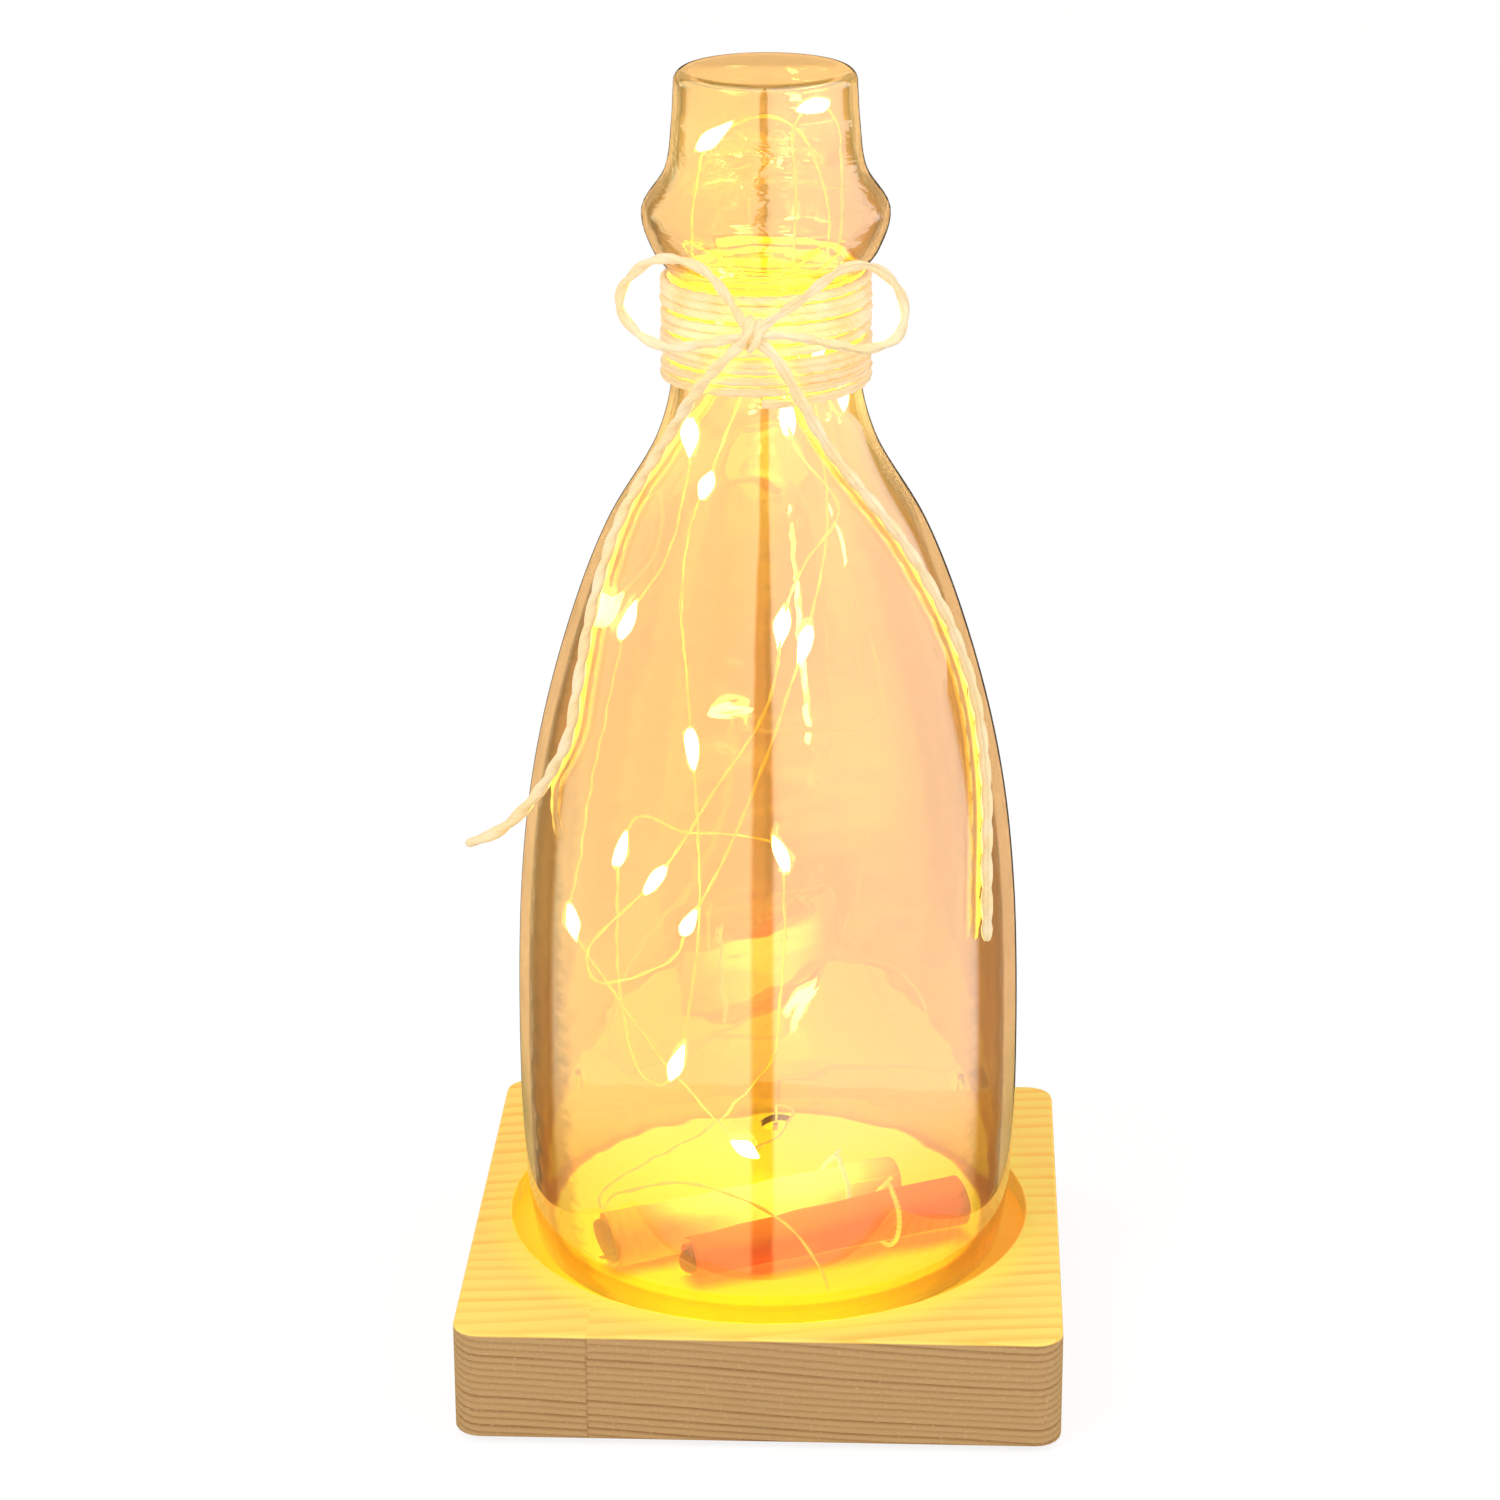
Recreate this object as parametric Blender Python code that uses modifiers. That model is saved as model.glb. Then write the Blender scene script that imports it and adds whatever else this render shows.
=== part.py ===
"""Bottle lamp: a tinted glass bottle stands over a string of tiny lights on a square pine base.

Units are metres and +Z is up. The origin is the centre of the footprint, on the surface that the
four pads stand on. The photographed front of the lamp faces -Y.
"""

import math

import bmesh
import bpy
from mathutils import Matrix, Vector

# Clearances
TOUCH_GAP = 0.0003
SLIDE_GAP = 0.0004

# Foam pads under the base
PAD_RADIUS = 0.004
PAD_HEIGHT = 0.001
PAD_INSET = 0.0085

# Pine base
BASE_SIDE = 0.100
BASE_THICKNESS = 0.019
BASE_CORNER_RADIUS = 0.0045
BASE_EDGE_ROUND = 0.0005
WIRE_HOLE_RADIUS = 0.00275
WIRE_HOLE_Y = 0.0335

# Glass bottle: radii of the outer wall, and the lengths up it from one station to the next
GLASS_WALL = 0.0020
CROWN_THICKNESS = 0.0020
RIM_RADIUS = 0.0400
RIM_TO_HEEL = 0.0085
HEEL_RADIUS = 0.0413
HEEL_TO_BELLY = 0.0185
BELLY_RADIUS = 0.0423
BELLY_TO_FLANK = 0.0375
FLANK_RADIUS = 0.0415
FLANK_TO_WAIST = 0.0230
WAIST_RADIUS = 0.0386
WAIST_TO_SHOULDER = 0.0225
SHOULDER_RADIUS = 0.0328
SHOULDER_TO_SLOPE = 0.0170
SLOPE_RADIUS = 0.0263
SLOPE_TO_THROAT = 0.0145
THROAT_RADIUS = 0.0180
THROAT_TO_NECK = 0.0095
NECK_RADIUS = 0.0154
NECK_LENGTH = 0.0180
NECK_TO_COLLAR = 0.0042
COLLAR_RADIUS = 0.0182
COLLAR_TO_BULGE = 0.0063
BULGE_RADIUS = 0.0199
BULGE_TO_HEAD = 0.0065
HEAD_FOOT_RADIUS = 0.0161
HEAD_FOOT_TO_HEAD = 0.0075
HEAD_RADIUS = 0.0150
HEAD_TO_CROWN = 0.0065
CROWN_EDGE_RADIUS = 0.0146
CROWN_FLAT_RADIUS = 0.0125
CROWN_RISE = 0.0020

# Ring groove that the bottle stands in
GROOVE_DEPTH = 0.004
GROOVE_INNER_RADIUS = 0.0375
GROOVE_OUTER_RADIUS = 0.0446

# Twine round the neck and its bow
WRAP_DIAMETER = 0.00115
WRAP_PITCH = 0.0016
WRAP_POINTS_PER_TURN = 24
WRAP_BOTTOM_GAP = 0.0018
BOW_TWINE_DIAMETER = 0.0014
KNOT_HALF_WIDTH = 0.0030
KNOT_HALF_DEPTH = 0.0019
KNOT_HALF_HEIGHT = 0.0026
KNOT_X = -0.0015
KNOT_ABOVE_FOOT = 0.0130

# String of lights
LED_COUNT = 18
LED_PITCH = 0.0525
LED_LEAD = 0.034
BEAD_RADIUS = 0.0012
BEAD_LENGTH = 0.0046
WIRE_DIAMETER = 0.0006
WIRE_TOLERANCE = 0.00095
TAIL_TOLERANCE = 0.00040

# Paper scrolls and the rings tied round them
PAPER = 0.00035
PAPER_SPACE = 0.00045
SCROLL_TURNS = 2.25
SCROLL_POINTS_PER_TURN = 16
TIE_DIAMETER = 0.0006
CREAM_LEFT = (-0.0250, -0.0250)
CREAM_RIGHT = (0.0210, -0.0015)
CREAM_LEFT_RADIUS = 0.0053
CREAM_RIGHT_RADIUS = 0.0046
CREAM_TIE_AT = 0.041
RED_LEFT = (-0.0115, -0.0288)
RED_RIGHT = (0.0325, -0.0095)
RED_LEFT_RADIUS = 0.0037
RED_RIGHT_RADIUS = 0.0046
RED_TIE_AT = 0.035

# Battery case in the pocket under the base
CASE_X = -0.010
CASE_LENGTH = 0.046
CASE_WIDTH = 0.030
CASE_CORNER_RADIUS = 0.003
CASE_FLOOR = 0.0024
CASE_RECESS = 0.0004
CASE_BACK_THICKNESS = 0.001
POCKET_DEPTH = 0.012
POCKET_SIDE_GAP = 0.0005
CELL_RADIUS = 0.010
CELL_THICKNESS = 0.0032
CELL_SIDE_GAP = 0.0006
CELL_X = -0.0095
CONTACT_THICKNESS = 0.0003
CONTACT_WIDTH = 0.004
EAR_LENGTH = 0.0075
EAR_WIDTH = 0.008
EAR_THICKNESS = 0.0016
EAR_HEIGHT = 0.0022
DOOR_LEFT = -0.0214
DOOR_RIGHT = 0.0078
DOOR_WIDTH = 0.0240
DOOR_THICKNESS = 0.0011
DOOR_SCREW_X = 0.0047
SCREW_SHANK_RADIUS = 0.0010
SCREW_HEAD_RADIUS = 0.0020
SCREW_HEAD_HEIGHT = 0.0009
DOOR_SCREW_LENGTH = 0.0045
EAR_SCREW_LENGTH = 0.0065

# Slide switch in the case
SWITCH_X = 0.0150
SWITCH_WIDTH = 0.0044
SWITCH_LENGTH = 0.0096
SWITCH_HEIGHT = 0.0042
SWITCH_WALL = 0.0006
SLIDER_PLATE = (0.0022, 0.0040, 0.0012)
SLIDER_STEM = (0.0014, 0.0020)
SLIDER_STEM_RECESS = 0.0002
SWITCH_TRAVEL = 0.0025
BAY_LEFT = 0.0085
BAY_RIGHT = 0.0205
BAY_WIDTH = 0.0240
LEAD_DIAMETER = 0.0010
LEAD_NOTCH = 0.0018
LEAD_HEIGHT = 0.0080
CHANNEL_WIDTH = 0.0030
CHANNEL_DEPTH = 0.0095

# Facets of round pieces
GLASS_STEPS = 40
PROFILE_TOLERANCE = 0.00030
BASE_STEPS = 40
ROUND_STEPS = 32
SCREW_STEPS = 12
PAD_STEPS = 20

# Levels that pieces share
BASE_BOTTOM = PAD_HEIGHT + TOUCH_GAP
BASE_TOP = BASE_BOTTOM + BASE_THICKNESS
GLASS_RIM = BASE_TOP - GROOVE_DEPTH + TOUCH_GAP
HEEL_HEIGHT = RIM_TO_HEEL
BELLY_HEIGHT = HEEL_HEIGHT + HEEL_TO_BELLY
FLANK_HEIGHT = BELLY_HEIGHT + BELLY_TO_FLANK
WAIST_HEIGHT = FLANK_HEIGHT + FLANK_TO_WAIST
SHOULDER_HEIGHT = WAIST_HEIGHT + WAIST_TO_SHOULDER
SLOPE_HEIGHT = SHOULDER_HEIGHT + SHOULDER_TO_SLOPE
THROAT_HEIGHT = SLOPE_HEIGHT + SLOPE_TO_THROAT
NECK_FOOT_HEIGHT = THROAT_HEIGHT + THROAT_TO_NECK
NECK_HEAD_HEIGHT = NECK_FOOT_HEIGHT + NECK_LENGTH
COLLAR_HEIGHT = NECK_HEAD_HEIGHT + NECK_TO_COLLAR
BULGE_HEIGHT = COLLAR_HEIGHT + COLLAR_TO_BULGE
HEAD_FOOT_HEIGHT = BULGE_HEIGHT + BULGE_TO_HEAD
HEAD_HEIGHT = HEAD_FOOT_HEIGHT + HEAD_FOOT_TO_HEAD
CROWN_EDGE_HEIGHT = HEAD_HEIGHT + HEAD_TO_CROWN
GLASS_HEIGHT = CROWN_EDGE_HEIGHT + CROWN_RISE
WRAP_RADIUS = NECK_RADIUS + TOUCH_GAP + WRAP_DIAMETER / 2
WRAP_OUTER = WRAP_RADIUS + WRAP_DIAMETER / 2
WRAP_BOTTOM = GLASS_RIM + NECK_FOOT_HEIGHT + WRAP_BOTTOM_GAP
WRAP_TURNS = int((NECK_LENGTH - WRAP_BOTTOM_GAP) / WRAP_PITCH)
WRAP_TOP = WRAP_BOTTOM + WRAP_TURNS * WRAP_PITCH
KNOT_HEIGHT = NECK_FOOT_HEIGHT + KNOT_ABOVE_FOOT
KNOT_CENTRE = Vector((KNOT_X, -(WRAP_OUTER + TOUCH_GAP + KNOT_HALF_DEPTH), GLASS_RIM + KNOT_HEIGHT))
CASE_BOTTOM = BASE_BOTTOM + CASE_RECESS
BACK_TOP = BASE_BOTTOM + POCKET_DEPTH - TOUCH_GAP
CASE_TOP = BACK_TOP - CASE_BACK_THICKNESS - TOUCH_GAP
FLOOR_TOP = CASE_BOTTOM + CASE_FLOOR
CELL_BOTTOM = CASE_BOTTOM + DOOR_THICKNESS + TOUCH_GAP
CELL_STACK_TOP = CELL_BOTTOM + 2 * CELL_THICKNESS + TOUCH_GAP

# Wire of the light string, in millimetres: x, y and the height above the top of the base
WIRE_ROUTE = (
    (0, 33.5, 0.3), (0, 33.5, 3.5), (3, 30.5, 4), (2.2, 22.1, 4.4), (0.5, 15.4, 5), (-2.3, 9.4, 6.4),
    (-4.4, 6.3, 7.6), (-10.8, 5.4, 15.4), (-18.5, 4.5, 25.1), (-25.3, 4, 35.3), (-33.7, 3.9, 50.8),
    (-32.6, 6.4, 62), (-30.1, 10.4, 77), (-27.3, 14.3, 90.4), (-24.2, 17.8, 102.4), (-18.8, 21.1, 109.3),
    (-14.6, 13.3, 125.1), (-12.1, -3.7, 138), (-11.9, -1.9, 149.7), (-11.8, -0.3, 160.6),
    (-12.3, 2.7, 170.2), (-11.1, 1.1, 179.5), (-8.2, -3.5, 187.9), (0.2, -0.1, 190.7), (5.7, 2.3, 187.2),
    (9.3, 4.1, 178.4), (10.1, 4.6, 168.1), (9.3, 4.7, 156.6), (7.8, 5.3, 145.6), (9, 7.5, 133.3),
    (9.8, 6.3, 120), (6.2, -3.5, 103.1), (3.5, -11, 96.5), (0.5, -17.4, 88.7), (-6.1, -22, 72.9),
    (-12.1, -19.5, 60.5), (-16, -11.2, 50.4), (-27.1, -14.3, 47.5), (-28.9, -17.1, 54.1),
    (-17, -18.4, 68.4), (-7.5, -24.4, 85.6), (0.8, -14.7, 97.1), (3.1, -4.8, 109.3), (6.9, -16.9, 122),
    (11.9, -14.6, 129.8), (5.7, -12, 138.4), (3.5, -2.9, 142.2), (4, -2.8, 156.6), (4.6, -3.5, 169.3),
    (4.9, -3.7, 179.7), (4.8, -2.8, 190.2), (8.7, 1.1, 192.3), (11.6, 3.1, 188.5), (12.1, 1.2, 179.3),
    (11.9, -0.6, 169.3), (11.4, -3.8, 154.5), (12.2, 3.9, 140.6), (7.8, 9.9, 145.5), (3.6, 7.5, 151.2),
    (-1, 4.1, 150.4), (-4.9, 0.2, 142.8), (-8.6, -3.3, 132.9), (-12.5, 2.5, 122.6), (-13.7, -5.6, 111.1),
    (-13.3, 0.7, 94.4), (-11.4, -6.1, 73.3), (-10.8, -10.1, 62.7), (-11.3, -13.7, 51.6),
    (-13.1, -16.9, 40), (-14.5, -18.4, 34.6), (-17, -16.2, 30.1), (-21.3, -12.1, 31), (-24.3, -9.3, 42.3),
    (-24.6, -9.9, 56.8), (-23.9, -10.1, 69.1), (-21.8, -1.7, 72.1), (-14.3, 17.8, 62), (-4.1, 21.4, 59.6),
    (1.2, 15.8, 59.7), (2.4, 11.7, 50.9), (1.5, 17.9, 33.4), (-1.2, 26, 14.4), (-11.1, 24, 4),
    (-28, -8, 6), (-27.2, -16.6, 6.8), (-24.8, -19.8, 11.2), (-20.5, -21.6, 13.4), (-14.5, -20, 13.8),
    (-5, -21.5, 12), (4, -25.5, 9), (10, -30.5, 3), (11, -32.5, 0.6),
)

# Bow of the twine, in millimetres: x, y and the height above the knot's centre
LEFT_LOOP_ROUTE = (
    (-9.0, -19.4, 10.4), (-16.2, -17.6, 11.6), (-21.6, -15.4, 7.0), (-22.4, -15.0, 3.2),
    (-19.4, -16.2, -0.8), (-14.8, -18.0, -2.4), (-9.5, -19.2, -1.6),
)
RIGHT_LOOP_ROUTE = (
    (6.0, -19.8, 5.6), (13.6, -18.6, 10.8), (18.4, -16.8, 9.9), (22.2, -14.8, 4.4),
    (21.6, -15.2, -0.9), (17.0, -17.0, -2.7), (10.6, -18.8, -1.4), (5.6, -19.4, -0.2),
)
LEFT_TAIL_ROUTE = (
    (-5.8, -18.6, -4.2), (-9.4, -16.0, -8.8), (-12.4, -12.8, -13.8), (-15.0, -10.0, -18.8),
    (-20.0, -8.6, -27.4), (-25.2, -12.6, -39.4), (-27.6, -15.6, -48.8), (-29.4, -18.6, -58.0),
    (-31.4, -20.6, -67.2), (-36.4, -17.2, -77.2), (-43.0, -16.4, -84.6), (-49.0, -16.4, -87.4),
)
RIGHT_TAIL_ROUTE = (
    (2.4, -18.8, -4.0), (6.0, -17.0, -11.0), (10.8, -14.8, -20.0), (17.0, -14.2, -28.4),
    (25.2, -13.6, -40.2), (31.0, -11.8, -52.8), (34.4, -12.2, -63.0), (36.2, -15.6, -75.4),
    (36.6, -20.0, -89.4), (36.8, -22.0, -101.0),
)

MILLIMETRE = 0.001


def named_collection(name):
    """A new collection in the scene."""
    collection = bpy.data.collections.new(name)
    bpy.context.scene.collection.children.link(collection)
    return collection


def material(name, colour, roughness, metallic=0.0, alpha=1.0):
    """A Principled material with plain values."""
    made = bpy.data.materials.new(name)
    made.use_nodes = True
    shader = made.node_tree.nodes["Principled BSDF"]
    shader.inputs["Base Color"].default_value = (*colour, 1.0)
    shader.inputs["Roughness"].default_value = roughness
    shader.inputs["Metallic"].default_value = metallic
    shader.inputs["Alpha"].default_value = alpha
    return made


def place(name, mesh, finish, location=(0, 0, 0), rotation=None):
    """Adds a mesh to the lamp as a named piece."""
    piece = bpy.data.objects.new(name, mesh)
    if finish is not None:
        mesh.materials.append(finish)
    piece.location = location
    if rotation is not None:
        piece.rotation_mode = "QUATERNION"
        piece.rotation_quaternion = rotation
    LAMP.objects.link(piece)
    piece.parent = ORIGIN
    return piece


def as_cutter(piece):
    """Moves a piece to the cutters, which are drawn as wire and never built."""
    LAMP.objects.unlink(piece)
    CUTTERS.objects.link(piece)
    piece.hide_render = True
    piece.display_type = "WIRE"
    return piece


def modify(piece, operation, tool):
    """Cuts tool out of piece, or joins it on, with an exact Boolean."""
    change = piece.modifiers.new(tool.name, "BOOLEAN")
    change.operation = operation
    change.object = tool
    change.solver = "EXACT"


def cut(piece, *tools):
    """Cuts each tool out of piece."""
    for tool in tools:
        modify(piece, "DIFFERENCE", as_cutter(tool))


def join(piece, *tools):
    """Joins each tool onto piece."""
    for tool in tools:
        modify(piece, "UNION", as_cutter(tool))


def finish_mesh(bm, name, smooth_angle=None):
    """Turns a bmesh into a mesh, shaded smooth below the angle in degrees."""
    mesh = bpy.data.meshes.new(name)
    bm.to_mesh(mesh)
    bm.free()
    if smooth_angle is not None:
        mesh.shade_smooth()
        mesh.set_sharp_from_angle(angle=math.radians(smooth_angle))
    return mesh


def box_mesh(name, size, corner_radius=0.0, edge_round=0.0):
    """A box centred on its origin, with its four upright edges rounded and then its flat rims eased."""
    bm = bmesh.new()
    bmesh.ops.create_cube(bm, size=1.0, matrix=Matrix.Diagonal((*size, 1.0)))
    if corner_radius > 0:
        upright = [e for e in bm.edges if abs(e.verts[0].co.z - e.verts[1].co.z) > size[2] / 2]
        bmesh.ops.bevel(bm, geom=upright, offset=corner_radius, segments=5, profile=0.5, affect="EDGES")
    if edge_round > 0:
        rims = [e for e in bm.edges if abs(e.verts[0].co.z - e.verts[1].co.z) < size[2] / 1000]
        bmesh.ops.bevel(bm, geom=rims, offset=edge_round, segments=2, profile=0.5, affect="EDGES")
    return finish_mesh(bm, name, 35)


def box(name, low, high, finish=None, corner_radius=0.0, edge_round=0.0):
    """A box between two corners of the lamp's frame."""
    low, high = Vector(low), Vector(high)
    mesh = box_mesh(name, high - low, corner_radius, edge_round)
    return place(name, mesh, finish, (low + high) / 2)


def cylinder(name, centre, radius, bottom, top, finish=None, steps=ROUND_STEPS):
    """An upright cylinder between two levels."""
    bm = bmesh.new()
    depth = top - bottom
    bmesh.ops.create_cone(bm, cap_ends=True, segments=steps, radius1=radius, radius2=radius, depth=depth)
    mesh = finish_mesh(bm, name, 35)
    return place(name, mesh, finish, (centre[0], centre[1], (bottom + top) / 2))


def turned(name, profile, finish=None, steps=ROUND_STEPS, closed=False, location=(0, 0, 0)):
    """Turns a profile of (radius, height) points round Z. A closed profile is a ring."""
    mesh = bpy.data.meshes.new(name)
    count = len(profile)
    edges = [(i, i + 1) for i in range(count - 1)]
    if closed:
        edges.append((count - 1, 0))
    mesh.from_pydata([(radius, 0, height) for radius, height in profile], edges, [])
    piece = place(name, mesh, finish, location)
    screw = piece.modifiers.new("Turn", "SCREW")
    screw.steps = steps
    screw.render_steps = steps
    screw.use_merge_vertices = True
    screw.merge_threshold = 0.00001
    screw.use_smooth_shade = True
    return piece


def tube(name, runs, diameter, finish, resolution):
    """Round wire or twine along each run of points, with closed ends."""
    curve = bpy.data.curves.new(name, "CURVE")
    curve.dimensions = "3D"
    curve.bevel_depth = diameter / 2
    curve.bevel_resolution = resolution
    curve.use_fill_caps = True
    for run in runs:
        spline = curve.splines.new("POLY")
        spline.points.add(len(run) - 1)
        for point, place_on_run in zip(spline.points, run):
            point.co = (*place_on_run, 1.0)
    return place(name, curve, finish)


def strip(name, outline, thickness, finish, location, rotation=None):
    """A flat outline with a thickness, such as a sheet-metal contact."""
    curve = bpy.data.curves.new(name, "CURVE")
    curve.dimensions = "2D"
    curve.fill_mode = "BOTH"
    curve.extrude = thickness / 2
    spline = curve.splines.new("POLY")
    spline.points.add(len(outline) - 1)
    for point, corner in zip(spline.points, outline):
        point.co = (*corner, 0.0, 1.0)
    spline.use_cyclic_u = True
    return place(name, curve, finish, location, rotation)


def rounded(points, samples=12):
    """Points on the centripetal Catmull-Rom curve through the given points, with both ends."""
    ends = [2 * points[0] - points[1], *points, 2 * points[-1] - points[-2]]
    made = []
    for a, b, c, d in zip(ends, ends[1:], ends[2:], ends[3:]):
        ta = math.sqrt((b - a).length)
        tb = ta + math.sqrt((c - b).length)
        tc = tb + math.sqrt((d - c).length)
        for k in range(samples):
            t = ta + (tb - ta) * k / samples
            ab = a.lerp(b, t / ta)
            bc = b.lerp(c, (t - ta) / (tb - ta))
            cd = c.lerp(d, (t - tb) / (tc - tb))
            abc = ab.lerp(bc, t / tb)
            bcd = bc.lerp(cd, (t - ta) / (tc - ta))
            made.append(abc.lerp(bcd, (t - ta) / (tb - ta)))
    made.append(points[-1].copy())
    return made


class Path:
    """A polyline that is read by the distance along it."""

    def __init__(self, points):
        self.points = points
        self.marks = [0.0]
        for a, b in zip(points, points[1:]):
            self.marks.append(self.marks[-1] + (b - a).length)

    @property
    def length(self):
        """Length of the whole path."""
        return self.marks[-1]

    def at(self, distance):
        """The point at a distance from the start."""
        distance = min(max(distance, 0.0), self.length)
        for i, mark in enumerate(self.marks[1:]):
            if distance <= mark:
                share = (distance - self.marks[i]) / (mark - self.marks[i])
                return self.points[i].lerp(self.points[i + 1], share)
        return self.points[-1].copy()

    def direction(self, distance, reach=0.0005):
        """Unit direction of the path at a distance."""
        return (self.at(distance + reach) - self.at(distance - reach)).normalized()

    def stretch(self, start, end):
        """The path between two distances, with all its points."""
        inner = [p for p, mark in zip(self.points, self.marks) if start < mark < end]
        return [self.at(start), *inner, self.at(end)]

    def run(self, start, end, step):
        """Evenly spaced points between two distances, about a step apart."""
        count = max(2, math.ceil((end - start) / step))
        return [self.at(start + (end - start) * k / count) for k in range(count + 1)]


def glass_stations():
    """Outer wall of the bottle from rim to crown, as (radius, height above the rim)."""
    return (
        (RIM_RADIUS, 0.0),
        (HEEL_RADIUS, HEEL_HEIGHT),
        (BELLY_RADIUS, BELLY_HEIGHT),
        (FLANK_RADIUS, FLANK_HEIGHT),
        (WAIST_RADIUS, WAIST_HEIGHT),
        (SHOULDER_RADIUS, SHOULDER_HEIGHT),
        (SLOPE_RADIUS, SLOPE_HEIGHT),
        (THROAT_RADIUS, THROAT_HEIGHT),
        (NECK_RADIUS, NECK_FOOT_HEIGHT),
        (NECK_RADIUS, (NECK_FOOT_HEIGHT + NECK_HEAD_HEIGHT) / 2),
        (NECK_RADIUS, NECK_HEAD_HEIGHT),
        (COLLAR_RADIUS, COLLAR_HEIGHT),
        (BULGE_RADIUS, BULGE_HEIGHT),
        (HEAD_FOOT_RADIUS, HEAD_FOOT_HEIGHT),
        (HEAD_RADIUS, HEAD_HEIGHT),
        (CROWN_EDGE_RADIUS, CROWN_EDGE_HEIGHT),
    )


def glass_outer():
    """Outer wall as (radius, height above the rim), from the rim up to the rounded crown."""
    wall = rounded([Vector((r, h, 0)) for r, h in glass_stations()], samples=6)
    points = [(p.x, p.y) for p in thinned(wall, PROFILE_TOLERANCE)]
    for k in range(1, 5):
        angle = math.pi / 2 * k / 4
        radius = CROWN_FLAT_RADIUS + (CROWN_EDGE_RADIUS - CROWN_FLAT_RADIUS) * math.cos(angle)
        height = CROWN_EDGE_HEIGHT + (GLASS_HEIGHT - CROWN_EDGE_HEIGHT) * math.sin(angle)
        points.append((radius, height))
    return points


def glass_inner(outer):
    """Inner wall: the outer one moved in by the wall's thickness, square to the surface."""
    made = []
    for i, (radius, height) in enumerate(outer):
        before = outer[max(i - 1, 0)]
        after = outer[min(i + 1, len(outer) - 1)]
        slope = Vector((after[0] - before[0], after[1] - before[1])).normalized()
        made.append((radius - slope.y * GLASS_WALL, min(height + slope.x * GLASS_WALL, inner_top())))
    return [point for point in made if point[0] > CROWN_FLAT_RADIUS / 4]


def inner_top():
    """Height of the crown's inner face above the rim."""
    return GLASS_HEIGHT - CROWN_THICKNESS


def glass_radius(level):
    """Radius of the bottle's outer wall at a level of the lamp's frame."""
    height = level - GLASS_RIM
    points = glass_outer()
    for (r1, h1), (r2, h2) in zip(points, points[1:]):
        if h1 <= height <= h2 and h2 > h1:
            return r1 + (r2 - r1) * (height - h1) / (h2 - h1)
    return RIM_RADIUS if height < 0 else 0.0


def build_base(pine):
    """Square pine block with the ring groove, the wire hole and the pocket for the battery case."""
    half = BASE_SIDE / 2
    base = box(
        "wood_base", (-half, -half, BASE_BOTTOM), (half, half, BASE_TOP), pine,
        BASE_CORNER_RADIUS, BASE_EDGE_ROUND,
    )
    above = BASE_TOP + GROOVE_DEPTH
    groove_floor = BASE_TOP - GROOVE_DEPTH
    groove = turned(
        "groove_cutter",
        [
            (GROOVE_OUTER_RADIUS, above), (GROOVE_OUTER_RADIUS, groove_floor),
            (GROOVE_INNER_RADIUS, groove_floor), (GROOVE_INNER_RADIUS, above),
        ],
        steps=BASE_STEPS, closed=True,
    )
    below = BASE_BOTTOM - PAD_HEIGHT
    pocket_top = BASE_BOTTOM + POCKET_DEPTH
    half_length = CASE_LENGTH / 2 + POCKET_SIDE_GAP
    half_width = CASE_WIDTH / 2 + POCKET_SIDE_GAP
    pocket = box(
        "pocket_cutter", (CASE_X - half_length, -half_width, below), (CASE_X + half_length, half_width, pocket_top),
        corner_radius=CASE_CORNER_RADIUS + POCKET_SIDE_GAP,
    )
    ear_reach = CASE_LENGTH / 2 + EAR_LENGTH + POCKET_SIDE_GAP
    ear_half = EAR_WIDTH / 2 + POCKET_SIDE_GAP
    ears = box(
        "ear_rebate_cutter", (CASE_X - ear_reach, -ear_half, below),
        (CASE_X + ear_reach, ear_half, BASE_BOTTOM + EAR_HEIGHT + EAR_THICKNESS + TOUCH_GAP),
    )
    channel = box(
        "channel_cutter", (-CHANNEL_WIDTH / 2, half_width - CASE_CORNER_RADIUS, below),
        (CHANNEL_WIDTH / 2, WIRE_HOLE_Y, BASE_BOTTOM + CHANNEL_DEPTH),
    )
    hole = cylinder("wire_hole_cutter", (0, WIRE_HOLE_Y), WIRE_HOLE_RADIUS, below, above, steps=24)
    cut(base, groove, pocket, ears, channel, hole)
    for side, x in ear_screw_places().items():
        pilot = cylinder(
            side + "_pilot_cutter", (x, 0), SCREW_SHANK_RADIUS + TOUCH_GAP, BASE_BOTTOM,
            ear_screw_top() + TOUCH_GAP, steps=SCREW_STEPS,
        )
        cut(base, pilot)
    return base


def build_pads(foam):
    """Four foam pads near the corners."""
    reach = BASE_SIDE / 2 - PAD_INSET
    for end, y in (("front", -reach), ("back", reach)):
        for side, x in (("left", -reach), ("right", reach)):
            cylinder("foam_pad_%s_%s" % (end, side), (x, y), PAD_RADIUS, 0, PAD_HEIGHT, foam, steps=PAD_STEPS)


def build_glass(glass):
    """Blown bottle, open at the bottom and closed at the crown, as one turned wall."""
    outer = glass_outer()
    inner = glass_inner(outer)
    rim_middle = (outer[0][0] + inner[0][0]) / 2
    rim = [(outer[0][0], GLASS_WALL / 2), (rim_middle, 0.0), (inner[0][0], GLASS_WALL / 2)]
    down = [(0.0, GLASS_HEIGHT)] + outer[:0:-1]
    up = inner[1:] + [(0.0, inner_top())]
    return turned("glass_bottle", down + rim + up, glass, GLASS_STEPS, location=(0, 0, GLASS_RIM))


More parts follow.
